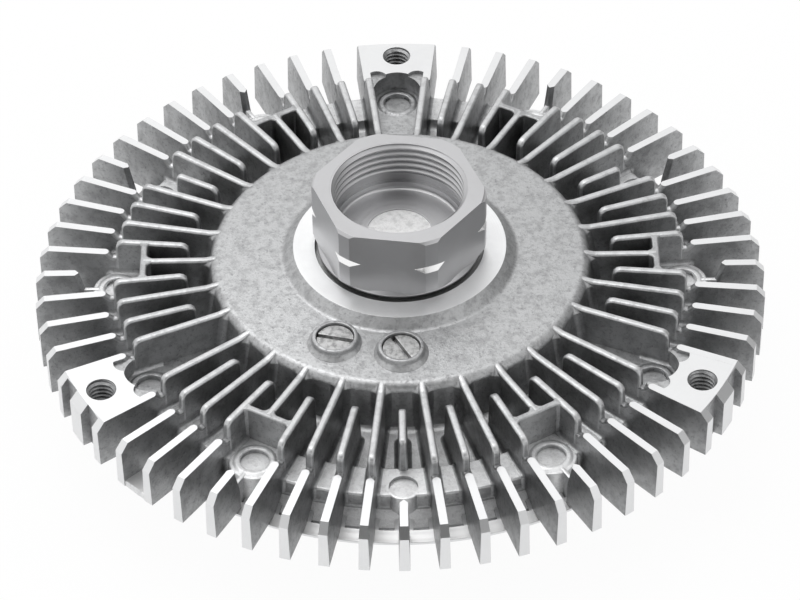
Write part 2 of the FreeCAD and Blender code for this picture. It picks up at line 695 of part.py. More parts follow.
def make_housing():
    """Die-cast housing with its fins, pads, bearing bore and rear lands."""
    pads = [PAD_FIRST_AZIMUTH + PAD_STEP * index for index in range(PAD_COUNT)]
    bridges = [pad + side * PAD_STEP / 4 for pad in pads for side in (-1, 1)]
    middles = [pad + PAD_STEP / 2 for pad in pads]
    base = [spun(piece, pad) for pad in pads for piece in (pad_block(), pad_channel())]
    base += [spun(lobe(WIDE_LOBE_R), azimuth) for azimuth in bridges]
    base += [spun(lobe(LOBE_R), azimuth) for azimuth in middles]
    for azimuth in PLUG_AZIMUTHS.values():
        base += plug_boss(azimuth)
    body = housing_blank().multiFuse(base)
    cuts = [ring(BEARING_OUTER_R - PAST, BEARING_OUTER_R + CIRCLIP_DEPTH,
                 BEARING_BOTTOM_Z - CIRCLIP_WIDTH, BEARING_BOTTOM_Z)]
    for pad in pads:
        cuts += [spun(cut, pad) for cut in pad_cuts()]
    mark = disc(MARK_R, FLANGE_Z - MARK_DEPTH, FLANGE_Z + INTO, MARK_CIRCLE_R)
    cuts += [spun(mark, azimuth) for azimuth in pads + bridges + middles]
    for azimuth in PLUG_AZIMUTHS.values():
        cuts += plug_bore(azimuth)
    body = body.cut(cuts)
    added = fins() + [foot_web()]
    added += mating_lands(rear_land_radii(), WEB_TOP_Z + LAND_FACE_GAP, CHAMBER_TOP_Z + INTO)
    added += [spun(gap_web(), azimuth) for azimuth in bridges]
    added += [spun(low_rib(), azimuth) for azimuth in bridges]
    added += [spun(mark_rim(), azimuth) for azimuth in bridges + pads]
    return body.multiFuse(added).removeSplitter()


# Cover

def cover_fin():
    """Radial fin on the cover's outside, along +X."""
    root_z = COVER_OUTER_Z + COVER_WALL / 2
    return plank([
        (COVER_FIN_INNER_R, root_z),
        (COVER_FIN_TIP_R, root_z),
        (COVER_FIN_TIP_R, COVER_FIN_TIP_Z),
        (COVER_FIN_SHOULDER_R, COVER_FOOT_Z, COVER_FIN_CORNER),
        (COVER_FIN_INNER_R + COVER_FIN_SLOPE, COVER_FOOT_Z, COVER_FIN_CORNER),
    ], COVER_FIN_WIDTH)


def clip_pad(side):
    """Cast pad under one strip clip."""
    near = side * (CLIP_INNER_X - CLIP_PAD_MARGIN)
    away = side * (CLIP_OUTER_X + CLIP_PAD_MARGIN)
    half = CLIP_HALF_WIDTH + CLIP_PAD_MARGIN
    return box((min(near, away), -half, CLIP_SEAT_Z), (max(near, away), half, DOME_Z + INTO))


def clip_rivet_places():
    """X and Y of the four clip rivets."""
    x = (CLIP_INNER_X + CLIP_OUTER_X) / 2
    return [(sx * x, sy * CLIP_RIVET_Y) for sx in (-1, 1) for sy in (-1, 1)]


def plate_rivet_places():
    """X and Y of the partition plate's rivets."""
    step = 360.0 / PLATE_RIVET_COUNT
    return [at_polar(PLATE_RIVET_CIRCLE_R, step * (index + 0.5)) for index in range(PLATE_RIVET_COUNT)]


def make_cover():
    """Die-cast front cover with reservoir, front lands, pin boss and fins."""
    blank = turned([
        (CHAMBER_R, COVER_SEAT_Z),
        (COVER_FLANGE_R, COVER_SEAT_Z),
        (COVER_FLANGE_R, LIP_Z),
        (COVER_WALL_R, LIP_Z),
        (COVER_WALL_R - COVER_DRAFT, COVER_OUTER_Z, COVER_RIM_FILLET),
        (DOME_R + DOME_FLANK, COVER_OUTER_Z, COVER_ROOT_FILLET),
        (DOME_R, DOME_Z, DOME_FILLET),
        (PIN_BOSS_R, DOME_Z, PIN_BOSS_ROOT),
        (PIN_BOSS_R - PIN_BOSS_DRAFT, PIN_BOSS_Z, PIN_BOSS_DRAFT),
        (PIN_BORE_R, PIN_BOSS_Z),
        (PIN_BORE_R, RESERVOIR_Z),
        (RESERVOIR_R, RESERVOIR_Z, RESERVOIR_FILLET),
        (RESERVOIR_R, COVER_INNER_Z),
        (CHAMBER_R, COVER_INNER_Z),
    ])
    step = 360.0 / COVER_FIN_COUNT
    added = [spun(cover_fin(), step * (index + 0.5)) for index in range(COVER_FIN_COUNT)]
    added += mating_lands(front_land_radii(), COVER_INNER_Z - INTO, WEB_BOTTOM_Z - LAND_FACE_GAP)
    added += [clip_pad(-1), clip_pad(1)]
    body = blank.multiFuse(added)
    groove_half = PIN_RING_SECTION_R + PIN_RING_SIDE_GAP
    cuts = [
        ring(PIN_BORE_R - INTO, PIN_RING_CIRCLE_R + PIN_RING_SECTION_R,
             PIN_RING_Z - groove_half, PIN_RING_Z + groove_half),
        ring(SEAL_CORD_CIRCLE_R - SEAL_CORD_R, SEAL_CORD_CIRCLE_R + SEAL_CORD_R,
             SEAL_FLOOR_Z, COVER_SEAT_Z + PAST),
    ]
    for x, y in clip_rivet_places():
        cuts.append(disc(CLIP_RIVET_R, CLIP_SEAT_Z - PAST, CLIP_SEAT_Z + CLIP_RIVET_LENGTH, x, y))
    for x, y in plate_rivet_places():
        cuts.append(disc(PLATE_RIVET_R, COVER_INNER_Z - PLATE_RIVET_LENGTH, COVER_INNER_Z + PAST, x, y))
    return body.cut(cuts).removeSplitter()


def make_cover_seal():
    """Ring of sealing cord between housing and cover, flattened on its seat."""
    half = SEAL_CORD_R * SEAL_CORD_FIT
    return turned([
        (SEAL_CORD_CIRCLE_R - half, SEAL_FLOOR_Z, SEAL_CORD_ROUND),
        (SEAL_CORD_CIRCLE_R + half, SEAL_FLOOR_Z, SEAL_CORD_ROUND),
        (SEAL_CORD_CIRCLE_R + half, COVER_SEAT_Z, SEAL_CORD_ROUND),
        (SEAL_CORD_CIRCLE_R - half, COVER_SEAT_Z, SEAL_CORD_ROUND),
    ])


# Drive shaft, rotor and bearing

def make_shaft():
    """Coupling nut and shaft: hexagon with turned corners, marking groove and stepped bore."""
    circle_r = NUT_ACROSS_FLATS / 2 / math.cos(math.radians(30))
    azimuths = [NUT_CORNER_AZIMUTH + 60 * index for index in range(7)]
    corners = [Vector(*at_polar(circle_r, azimuth), NUT_BOTTOM_Z) for azimuth in azimuths]
    height = NUT_TOP_Z - NUT_BOTTOM_Z
    prism = sound(Part.Face(Part.makePolygon(corners)).extrude(Vector(0, 0, height)))
    groove_z = (NUT_TOP_Z + NUT_BOTTOM_Z) / 2
    skin = turned([
        (0, NUT_BOTTOM_Z),
        (NUT_CHAMFER_R, NUT_BOTTOM_Z),
        (NUT_CORNER_R, NUT_BOTTOM_Z + NUT_CHAMFER),
        (NUT_CORNER_R, groove_z - MARK_GROOVE_DEPTH),
        (NUT_CORNER_R - MARK_GROOVE_DEPTH, groove_z),
        (NUT_CORNER_R, groove_z + MARK_GROOVE_DEPTH),
        (NUT_CORNER_R, NUT_TOP_Z - NUT_CHAMFER),
        (NUT_CHAMFER_R, NUT_TOP_Z),
        (0, NUT_TOP_Z),
    ])
    nut = prism.common(skin)
    mouth = THREAD_MOUTH_R - THREAD_R
    bore = turned([
        (0, NUT_TOP_Z + PAST),
        (THREAD_MOUTH_R + PAST, NUT_TOP_Z + PAST),
        (THREAD_R, NUT_TOP_Z - mouth),
        (THREAD_R, THREAD_END_Z),
        (RELIEF_R, THREAD_END_Z),
        (RELIEF_R, STEP_Z),
        (RELIEF_R - STEP_WIDTH, STEP_Z),
        (RELIEF_R - STEP_WIDTH, BORE_FLOOR_Z),
        (BORE_SPOT_R, BORE_FLOOR_Z),
        (BORE_SPOT_R, BORE_FLOOR_Z - BORE_SPOT_DEPTH),
        (0, BORE_FLOOR_Z - BORE_SPOT_DEPTH),
    ])
    stem = turned([
        (0, NUT_BOTTOM_Z + INTO),
        (COLLAR_R, NUT_BOTTOM_Z + INTO),
        (COLLAR_R, BEARING_TOP_Z),
        (BEARING_BORE_R, BEARING_TOP_Z),
        (BEARING_BORE_R, BEARING_BOTTOM_Z),
        (ROTOR_SEAT_R, BEARING_BOTTOM_Z),
        (ROTOR_SEAT_R, HUB_BOTTOM_Z),
        (RIVET_HEAD_R, HUB_BOTTOM_Z),
        (RIVET_HEAD_R - RIVET_HEAD_BEVEL, HUB_BOTTOM_Z - RIVET_HEAD),
        (0, HUB_BOTTOM_Z - RIVET_HEAD),
    ])
    return nut.fuse(stem).cut(bore).removeSplitter()


def make_rotor():
    """Rotor disc with ring lands on both faces and ports through its web."""
    shoulder_r = INNER_RING_R - ROTOR_SHOULDER_INSET
    shoulder_z = BEARING_BOTTOM_Z - ROTOR_SHOULDER_HEIGHT
    blank = turned([
        (ROTOR_SEAT_R, BEARING_BOTTOM_Z),
        (shoulder_r, BEARING_BOTTOM_Z),
        (shoulder_r, shoulder_z),
        (ROTOR_HUB_R, shoulder_z),
        (ROTOR_HUB_R, WEB_TOP_Z, ROTOR_HUB_FILLET),
        (ROTOR_R, WEB_TOP_Z),
        (ROTOR_R, WEB_BOTTOM_Z),
        (ROTOR_HUB_R, WEB_BOTTOM_Z),
        (ROTOR_HUB_R, HUB_BOTTOM_Z),
        (ROTOR_SEAT_R, HUB_BOTTOM_Z),
    ])
    lands = []
    for radius in rear_land_radii():
        top_z = CHAMBER_TOP_Z - LAND_FACE_GAP
        lands.append(ring(radius - LAND_WIDTH, radius, WEB_TOP_Z - INTO, top_z))
    for radius in front_land_radii():
        low_z = COVER_INNER_Z + LAND_FACE_GAP
        lands.append(ring(radius - LAND_WIDTH, radius, low_z, WEB_BOTTOM_Z + INTO))
    ports = []
    for index in range(ROTOR_PORT_COUNT):
        x, y = at_polar(ROTOR_PORT_CIRCLE_R, 360.0 / ROTOR_PORT_COUNT * index)
        ports.append(disc(ROTOR_PORT_R, WEB_BOTTOM_Z - PAST, WEB_TOP_Z + PAST, x, y))
    return blank.multiFuse(lands).cut(ports).removeSplitter()


def race_groove():
    """Ring-shaped tool that cuts both ball tracks."""
    return Part.makeTorus(PITCH_R, BALL_R + BALL_CLEARANCE, Vector(0, 0, BEARING_MID_Z))


def seal_levels():
    """Lower face of the rear and of the front bearing seal."""
    rear = BEARING_TOP_Z - SEAL_INSET - SEAL_WIDTH
    return {"rear": rear, "front": BEARING_BOTTOM_Z + SEAL_INSET}


def make_outer_ring():
    """Bearing outer ring, with its track and the seats of both seals."""
    blank = ring(OUTER_RING_R, BEARING_OUTER_R, BEARING_BOTTOM_Z, BEARING_TOP_Z)
    seats = []
    for low_z in seal_levels().values():
        seats.append(ring(OUTER_RING_R - PAST, OUTER_RING_R + SEAL_SEAT, low_z, low_z + SEAL_WIDTH))
    return blank.cut([race_groove()] + seats)


def make_inner_ring():
    """Bearing inner ring with its track."""
    blank = ring(BEARING_BORE_R, INNER_RING_R, BEARING_BOTTOM_Z, BEARING_TOP_Z)
    return blank.cut(race_groove())


def make_seal(low_z):
    """Rubber seal held in the outer ring, its lip just clear of the inner ring."""
    return ring(INNER_RING_R + SEAL_GAP, OUTER_RING_R + SEAL_SEAT, low_z, low_z + SEAL_WIDTH)


def ball_places():
    """X and Y of the ball centres."""
    return [at_polar(PITCH_R, 360.0 / BALL_COUNT * index) for index in range(BALL_COUNT)]


def make_balls():
    """All balls as one group of separate solids."""
    spheres = [Part.makeSphere(BALL_R, Vector(x, y, BEARING_MID_Z)) for x, y in ball_places()]
    return Part.makeCompound(spheres)


def make_cage():
    """Snap-in crown cage, open towards the nut."""
    half_wall = (OUTER_RING_R - INNER_RING_R) / 2 - CAGE_GAP
    ball_low_z = BEARING_MID_Z - BALL_R
    seal_top_z = seal_levels()["front"] + SEAL_WIDTH
    low_z = ball_low_z - CAGE_BACK_SHARE * (ball_low_z - seal_top_z)
    blank = ring(PITCH_R - half_wall, PITCH_R + half_wall, low_z, BEARING_MID_Z + CAGE_FINGER)
    pocket_r = BALL_R + BALL_CLEARANCE
    pockets = [Part.makeSphere(pocket_r, Vector(x, y, BEARING_MID_Z)) for x, y in ball_places()]
    return blank.cut(pockets)


def make_circlip():
    """Inside retaining ring under the bearing, with an opening and two eyes."""
    low_z = BEARING_BOTTOM_Z - CIRCLIP_WIDTH
    outer_r = BEARING_OUTER_R + CIRCLIP_DEPTH
    inner_r = outer_r - CIRCLIP_RADIAL
    blank = ring(inner_r, outer_r, low_z, BEARING_BOTTOM_Z)
    opening = sector(CIRCLIP_OPENING / 2, outer_r + PAST, low_z - PAST, BEARING_BOTTOM_Z + PAST)
    clip = blank.cut(opening)
    eyes = []
    holes = []
    for side in (-1, 1):
        angle = side * (CIRCLIP_OPENING / 2 + CIRCLIP_EYE_ANGLE)
        x, y = at_polar(inner_r + CIRCLIP_EYE_INSET, angle)
        eyes.append(disc(CIRCLIP_EYE_R, low_z, BEARING_BOTTOM_Z, x, y))
        holes.append(disc(CIRCLIP_EYE_HOLE_R, low_z - PAST, BEARING_BOTTOM_Z + PAST, x, y))
    return clip.multiFuse(eyes).cut(holes).removeSplitter()


# Valve

def make_plate():
    """Partition plate between working chamber and reservoir."""
    blank = disc(PLATE_R, COVER_INNER_Z, PLATE_TOP_Z)
    low_z = COVER_INNER_Z - PAST
    high_z = PLATE_TOP_Z + PAST
    holes = [
        disc(PORT_R, low_z, high_z, PORT_X),
        disc(RETURN_HOLE_R, low_z, high_z, 0, RETURN_HOLE_CIRCLE_R),
        disc(LEVER_RIVET_R, low_z, high_z, LEVER_RIVET_X),
    ]
    holes += [disc(PLATE_RIVET_R, low_z, high_z, x, y) for x, y in plate_rivet_places()]
    return blank.cut(holes)


def make_plate_rivets():
    """Rivets that hold the partition plate in the cover."""
    rivets = []
    for x, y in plate_rivet_places():
        shank = disc(PLATE_RIVET_R, COVER_INNER_Z - PLATE_RIVET_LENGTH, PLATE_TOP_Z + PLATE_RIVET_HEAD, x, y)
        head = disc(PLATE_RIVET_HEAD_R, PLATE_TOP_Z, PLATE_TOP_Z + PLATE_RIVET_HEAD, x, y)
        rivets.append(shank.fuse(head).removeSplitter())
    return Part.makeCompound(rivets)


def make_lever():
    """Valve lever: sheet arm with a rounded root edge, a rivet hole and a round pad over the port."""
    half = LEVER_THICKNESS / 2
    arm = box((LEVER_ROOT_X, -LEVER_WIDTH / 2, LEVER_BOTTOM_Z), (PORT_X, LEVER_WIDTH / 2, LEVER_TOP_Z))
    corner = Vector(LEVER_ROOT_X, -LEVER_WIDTH / 2, LEVER_TOP_Z - half)
    root = Part.makeCylinder(half, LEVER_WIDTH, corner, Vector(0, 1, 0))
    pad = disc(LEVER_PAD_R, LEVER_BOTTOM_Z, LEVER_TOP_Z, PORT_X)
    hole_r = LEVER_RIVET_R + LEVER_HOLE_GAP
    hole = disc(hole_r, LEVER_BOTTOM_Z - PAST, LEVER_TOP_Z + PAST, LEVER_RIVET_X)
    return arm.multiFuse([root, pad]).cut(hole).removeSplitter()


def make_lever_rivet():
    """Shouldered rivet that holds the lever's root loosely against the plate."""
    head_top = LEVER_BOTTOM_Z - LEVER_RIVET_PLAY
    upset_top = PLATE_TOP_Z + LEVER_RIVET_UPSET
    shank = disc(LEVER_RIVET_R, head_top - LEVER_RIVET_HEAD, upset_top, LEVER_RIVET_X)
    head = disc(LEVER_RIVET_HEAD_R, head_top - LEVER_RIVET_HEAD, head_top, LEVER_RIVET_X)
    upset = disc(LEVER_RIVET_UPSET_R, PLATE_TOP_Z, upset_top, LEVER_RIVET_X)
    return shank.multiFuse([head, upset]).removeSplitter()


def make_pin():
    """Switch pin between the bimetal strip and the valve lever."""
    return turned([
        (0, PIN_BOTTOM_Z),
        (PIN_R, PIN_BOTTOM_Z, PIN_END_ROUND),
        (PIN_R, PIN_TOP_Z, PIN_END_ROUND),
        (0, PIN_TOP_Z),
    ])


def make_pin_ring():
    """Sealing ring round the switch pin."""
    return Part.makeTorus(PIN_RING_CIRCLE_R, PIN_RING_SECTION_R, Vector(0, 0, PIN_RING_Z))


# Bimetal strip

def make_strip():
    """Flat bimetal strip, corners rounded off."""
    half = STRIP_LENGTH / 2
    strip = box((-half, -STRIP_WIDTH / 2, STRIP_BOTTOM_Z), (half, STRIP_WIDTH / 2, STRIP_TOP_Z))
    corners = [edge for edge in strip.Edges if edge.Curve.Direction.isParallel(Z_AXIS, 1e-6)]
    return strip.makeFillet(STRIP_CORNER, corners)


def make_clip(side):
    """Sheet clip folded back over one end of the strip."""
    hook = plank([
        (CLIP_INNER_X, STRIP_TOP_Z),
        (CLIP_INNER_X, CLIP_SEAT_Z),
        (CLIP_OUTER_X, CLIP_SEAT_Z),
        (CLIP_OUTER_X, CLIP_BOTTOM_Z, CLIP_BEND),
        (CLIP_OUTER_X - CLIP_REACH, CLIP_BOTTOM_Z),
        (CLIP_OUTER_X - CLIP_REACH, STRIP_BOTTOM_Z),
        (STRIP_LENGTH / 2, STRIP_BOTTOM_Z),
        (STRIP_LENGTH / 2, STRIP_TOP_Z),
    ], 2 * CLIP_HOOK_HALF_WIDTH)
    foot = box((CLIP_INNER_X, -CLIP_HALF_WIDTH, STRIP_TOP_Z), (CLIP_OUTER_X, CLIP_HALF_WIDTH, CLIP_SEAT_Z))
    clip = hook.fuse(foot).removeSplitter()
    upright = [
        edge for edge in clip.Edges
        if edge.Length < 2 * CLIP_THICKNESS
        and abs(abs(edge.CenterOfMass.y) - CLIP_HALF_WIDTH) < 1e-6
        and edge.BoundBox.ZLength > CLIP_THICKNESS / 2
    ]
    clip = clip.makeFillet(CLIP_CORNER, upright)
    holes = [disc(CLIP_RIVET_R, STRIP_TOP_Z - PAST, CLIP_SEAT_Z + PAST, x, y)
             for x, y in clip_rivet_places() if x > 0]
    clip = clip.cut(holes)
    return clip if side > 0 else spun(clip, 180)


def make_clip_rivets():
    """Rivets that hold both clips on the cover."""
    rivets = []
    head_low = STRIP_TOP_Z - CLIP_RIVET_HEAD
    for x, y in clip_rivet_places():
        shank = disc(CLIP_RIVET_R, head_low, CLIP_SEAT_Z + CLIP_RIVET_LENGTH, x, y)
        head = disc(CLIP_RIVET_HEAD_R, head_low, STRIP_TOP_Z, x, y)
        rivets.append(shank.fuse(head).removeSplitter())
    return Part.makeCompound(rivets)


# Filler plugs

def make_plug(name):
    """Slotted filler plug."""
    x, y = at_polar(PLUG_CIRCLE_R, PLUG_AZIMUTHS[name])
    head = disc(PLUG_HEAD_R, PLUG_HEAD_Z, PLUG_TOP_Z, x, y)
    shank = disc(PLUG_SHANK_R, PLUG_SEAT_Z - PLUG_SHANK, PLUG_HEAD_Z + INTO, x, y)
    reach = PLUG_HEAD_R + PAST
    slot = box((-reach, -PLUG_SLOT_WIDTH / 2, PLUG_TOP_Z - PLUG_SLOT_DEPTH),
               (reach, PLUG_SLOT_WIDTH / 2, PLUG_TOP_Z + PAST))
    slot = spun(slot, PLUG_SLOT_ANGLES[name])
    slot.translate(Vector(x, y, 0))
    return head.fuse(shank).cut(slot).removeSplitter()


def make_plug_washer(name):
    """Sealing washer under a filler plug's head."""
    x, y = at_polar(PLUG_CIRCLE_R, PLUG_AZIMUTHS[name])
    washer = disc(PLUG_HEAD_R, PLUG_SEAT_Z, PLUG_HEAD_Z, x, y)
    return washer.cut(disc(PLUG_SHANK_R, PLUG_SEAT_Z - PAST, PLUG_HEAD_Z + PAST, x, y))


nodes = {
    "housing": make_housing(),
    "front_cover": make_cover(),
    "cover_seal": make_cover_seal(),
    "drive_shaft": make_shaft(),
    "rotor_disc": make_rotor(),
    "bearing_outer_ring": make_outer_ring(),
    "bearing_inner_ring": make_inner_ring(),
    "bearing_balls": make_balls(),
    "bearing_cage": make_cage(),
    "bearing_circlip": make_circlip(),
    "partition_plate": make_plate(),
    "partition_rivets": make_plate_rivets(),
    "valve_lever": make_lever(),
    "lever_rivet": make_lever_rivet(),
    "switch_pin": make_pin(),
    "pin_seal": make_pin_ring(),
    "bimetal_strip": make_strip(),
    "strip_clip_left": make_clip(-1),
    "strip_clip_right": make_clip(1),
    "clip_rivets": make_clip_rivets(),
}
for name, level in seal_levels().items():
    nodes["bearing_seal_" + name] = make_seal(level)
for name in PLUG_AZIMUTHS:
    nodes["filler_plug_" + name] = make_plug(name)
    nodes["plug_washer_" + name] = make_plug_washer(name)

for name, shape in nodes.items():
    shape.exportStep("parts/" + name + ".step")
    print(name, len(shape.Solids), round(shape.Volume, 1), shape.isValid())
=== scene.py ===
"""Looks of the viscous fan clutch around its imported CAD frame.

Lengths are in millimetres up to the moment a mesh is made, and in metres after that.
"""
import json
import math

import bmesh
import bpy
import numpy as np
from mathutils import Matrix, Quaternion, Vector


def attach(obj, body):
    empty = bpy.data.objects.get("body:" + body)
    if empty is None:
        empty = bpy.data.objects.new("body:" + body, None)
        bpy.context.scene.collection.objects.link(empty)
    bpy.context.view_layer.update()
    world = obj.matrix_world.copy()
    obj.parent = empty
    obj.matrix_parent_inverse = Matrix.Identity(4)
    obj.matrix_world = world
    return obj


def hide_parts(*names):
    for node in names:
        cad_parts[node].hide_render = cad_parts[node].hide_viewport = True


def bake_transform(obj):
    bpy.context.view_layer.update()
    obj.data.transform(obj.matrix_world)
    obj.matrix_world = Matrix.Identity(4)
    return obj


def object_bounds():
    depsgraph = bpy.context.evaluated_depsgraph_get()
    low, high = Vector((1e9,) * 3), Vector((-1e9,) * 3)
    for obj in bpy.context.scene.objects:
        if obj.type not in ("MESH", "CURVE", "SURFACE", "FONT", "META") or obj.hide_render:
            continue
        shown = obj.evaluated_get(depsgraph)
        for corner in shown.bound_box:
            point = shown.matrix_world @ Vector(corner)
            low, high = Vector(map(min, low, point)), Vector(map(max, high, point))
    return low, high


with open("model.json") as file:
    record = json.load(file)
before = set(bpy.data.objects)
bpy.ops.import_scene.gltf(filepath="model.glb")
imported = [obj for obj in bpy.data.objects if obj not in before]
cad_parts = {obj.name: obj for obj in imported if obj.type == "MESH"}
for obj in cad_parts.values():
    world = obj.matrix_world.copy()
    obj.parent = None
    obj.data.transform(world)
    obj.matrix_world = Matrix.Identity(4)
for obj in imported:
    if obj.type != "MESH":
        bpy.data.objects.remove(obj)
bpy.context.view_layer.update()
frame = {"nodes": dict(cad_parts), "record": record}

MM = 0.001
SET_BACK = 0.01

# Outer fins and the plane they are turned to
FIN_COUNT = 60
PER_PAD = 20
FIN_STEP = 6.0
PAD_STEP = 120.0
FIRST_PAD = 90.0
FIN_TIP = 75.0
FIN_BOTTOM = -10.6
CHAMFER_START = 73.2
CHAMFER_DROP = 1.95
FIN_HALF_WIDTH = 0.85
FIN_DRAFT = 0.0236
SKIM = 0.6
OUTER_ROUND = 0.72
SHORT_START = 66.2
SHORT_FOOT = 65.0
NOSE_LENGTH = 0.9

# Taller inner part of the fins
TALL_TOP = 3.3
TALL_START = 43.6
TALL_END = 58.9
TALL_CORNER = 1.6
FREE_CORNER = 1.7
TALL_ROUND = 0.5
NOTCH = -1.0
NOTCH_END = 59.7
FLAT_START = 60.6
STUB_END = 53.7
WEB_OUTER = 53.3
WEB_WIDTH = 1.4
ROOT = -7.8
ROOT_FILLET = 0.9
ROOT_END = 62.9
FILLET_RUN_IN = 2.4
FILLET_RUN_OUT = 0.8
LEAST_FILLET = 0.05
WALL_FILLET = 1.7

# Round marks, their seats and rims
MARK_CIRCLE = 58.2
MARK_RADIUS = 2.9
MARK_DEPTH = 0.8
MARK_RIM = 4.3
MARK_RIM_HEIGHT = 0.25
SEAT_RADIUS = 3.5
WIDE_SEAT_RADIUS = 5.2
FLANGE = -4.6
FLANGE_OUTER = 60.7

# Turned foot under the fins
FOOT_INNER = 64.4
FOOT_OUTER = 67.2
FOOT_HIGH = -10.35
FOOT_LOW = -11.05
FOOT_SUNK = -11.1
FOOT_WEB_AZIMUTH = 225.0
TAB_START = 62.7
TAB_END = 64.8

# Dish, boss face and what lies under the fins, as (radius, z, rounding) corners
BOSS_FACE = 6.5
BOSS_RADIUS = 21.8
BOSS_RECESS = 17.3
BOSS_RECESS_FLOOR = 5.4
DISH_TOP = (24.0, 4.5, 1.5)
DISH_RIM = (38.8, 3.8, 2.0)
DISH_FOOT = (40.6, -6.6, 1.6)
RISER_FOOT = (52.4, -6.6, 1.6)
UNDER_FINS = [
    (53.2, FLANGE, 0.4),
    (FLANGE_OUTER, FLANGE, 0.6),
    (FLANGE_OUTER, -7.9, 0.8),
]
SLOPE_END = (63.9, -10.4)

# Inside of the housing and the lip that holds the cover
HUB_HOLE = 12.2
SLEEVE = 21.0
SLEEVE_LOW = -9.4
BEARING = 17.5
BEARING_TOP = 3.5
BEARING_LOW = -6.5
CIRCLIP_GROOVE = 18.5
CIRCLIP_LOW = -8.0
CHAMBER = 57.6
CHAMBER_TOP = -9.0
LAND_CIRCLES = [55.5, 52.5, 49.5, 46.5, 43.5]
LAND_WIDTH = 1.2
LAND_LOW = -12.0
LIP_INNER = 59.4
LIP_LOW = -17.4
COVER_SEAT = -14.5
COVER_EDGE = 60.9
COVER_EDGE_LOW = -16.0

# Zones of the shell with a finish or tone of their own, as (radius from, radius to, z from, z to); the darker
# tones of the walls and pad pockets are painted shade
DISH_ZONE = (BOSS_RECESS, 40.0, 2.2, 10.0)
DISH_WALL_ZONE = (38.5, 41.0, -6.0, 2.3)
FLANGE_EDGE_ZONE = (60.2, 61.3, -8.3, -5.0)
MARK_WALL_ZONE = (54.0, 62.5, FLANGE - MARK_DEPTH, FLANGE - 0.1)
PAD_POCKET_ZONE = (52.0, 61.5, FLANGE - 1.0, 10.0)
PAD_ZONE_ANGLE = 6.0

# Pads
PAD_HALF_ANGLE = 5.4
PAD_INNER = 59.6
PAD_HOLE_CIRCLE = 69.0
PAD_HOLE = 3.02
PAD_MOUTH = 3.3
PAD_THREAD_ROOT = 3.0
PAD_THREAD_CREST = 2.5
PAD_THREAD_PITCH = 1.0
POCKET = 5.1
DIMPLE = 2.3
DIMPLE_CENTRE = 61.5
DIMPLE_OFFSET = 4.4
DIMPLE_DEPTH = 0.8
RECESS_FLOOR = 73.15
RECESS_TOP = 1.0
RECESS_WIDTH = 4.3
PAD_RIB = 4.7

# Nut and shaft
NUT_FLATS = 32.0
NUT_CORNER = 17.75
NUT_AZIMUTH = 51.0
NUT_TOP = 21.9
NUT_BOTTOM = 7.4
NUT_CHAMFER = 1.2
NUT_CHAMFER_RADIUS = 15.9
NUT_TOP_CHAMFER = 0.6
NUT_TOP_RADIUS = 17.25
NUT_GROOVE = 0.85
COLLAR_RADIUS = 16.7
COLLAR_LOW = 7.0
BORE_FLOOR = 10.3
SPOT_FLOOR = 10.0
SPOT_RADIUS = 6.6
STEP_RADIUS = 13.13
RELIEF_LOW = 12.0
STEM_COLLAR = 11.2
SHAFT_RADIUS = 8.5
ROTOR_SEAT = 7.5
SHAFT_HEAD = -15.0
SHAFT_HEAD_RADIUS = 9.0
SHAFT_HEAD_HEIGHT = 0.9
THREAD_CREST = 13.2
THREAD_ROOT = 13.98
THREAD_PITCH = 1.5
THREAD_END = 13.9
RELIEF = 14.03
THREAD_MOUTH = 13.65

# Filler plugs: azimuth of the plug and angle of its slot
PLUGS = {"1": (243.4, -14.2), "2": (270.0, -61.8)}
PLUG_CIRCLE = 29.4
PLUG_BOSS_TOP = 5.9
PLUG_HEAD = 3.7
PLUG_HEAD_TOP = 5.3
PLUG_HEAD_LOW = 3.9
PLUG_SLOT = 0.9
PLUG_SLOT_DEPTH = 1.2
PLUG_SHANK = 2.5
PLUG_SHANK_LOW = -0.6

# Cover and bimetal strip
COVER_FINS = 36
COVER_FIN_HALF = 0.9
COVER_FIN_INNER = 39.2
COVER_FIN_FOOT = -18.75
COVER_FIN_LOW = -28.0
COVER_BACK = -17.4
COVER_LAND_TOP = -15.0
COVER_PATH = [(39.0, -21.05), (39.5, -20.65), (40.4, -20.25)]
COVER_FRONT = -20.1
CORD_INNER = 58.8
CORD_OUTER = 60.4
CORD_FLOOR = -15.7
DOME = 36.6
DOME_FRONT = -23.0
RESERVOIR = 35.0
RESERVOIR_LOW = -20.6
PIN_BOSS = 5.6
PIN_BOSS_LOW = -24.4
PIN_BORE = 2.03
PIN_GROOVE = 3.34
PIN_GROOVE_TOP = -21.69
PIN_GROOVE_LOW = -23.31
STRIP_LENGTH = 62.0
STRIP_WIDTH = 14.0
STRIP_CORNER = 2.0
STRIP_LOW = -25.85
STRIP_HIGH = -25.05
STRIP_EDGE = 0.12
CLIP_PAD_X = 29.1
CLIP_PAD_HALF = (3.3, 12.6)
CLIP_PAD_LOW = -24.25
CLIP_PAD_ROOT = -22.5

# Finishes: heights in metres, shares of one
GRAIN_HEIGHT = 0.0002
LINE_HEIGHT = 0.00008
STAIN_SHARE = 0.5
SPECKLE_SHARE = 0.6
# Painted light: the tone of lit tops, for the rounded rims and upward faces of fins
RIM_AND_TOP_LIGHT = (0.62, 0.625, 0.63)

# Camera, fitted to the photo
CAMERA_ELEVATION = 42.94
CAMERA_DISTANCE = 0.73478
CAMERA_TARGET = (-0.000098, -0.009766, 0)
CAMERA_ROLL = -0.016
CAMERA_LENS = 162.27
CAMERA_SENSOR = 36

# Surroundings: how bright the floor is seen and mirrored, and the dark parts of the world in degrees
FLOOR_SEEN = 0.95
FLOOR_MIRRORED = 0.5
DARK_START = 14
DARK_END = 32
CAMERA_DARK = 0.04
SIDE_TOWARDS = (0.87, 0.48, 0.12)
SIDE_START = 26
SIDE_END = 50
SIDE_DARK = 0.35
LAMP_PLACE = (-0.25, 0.3, 1.0)
LAMP_SIZE = 0.6
LAMP_POWER = 3.0


# Outlines

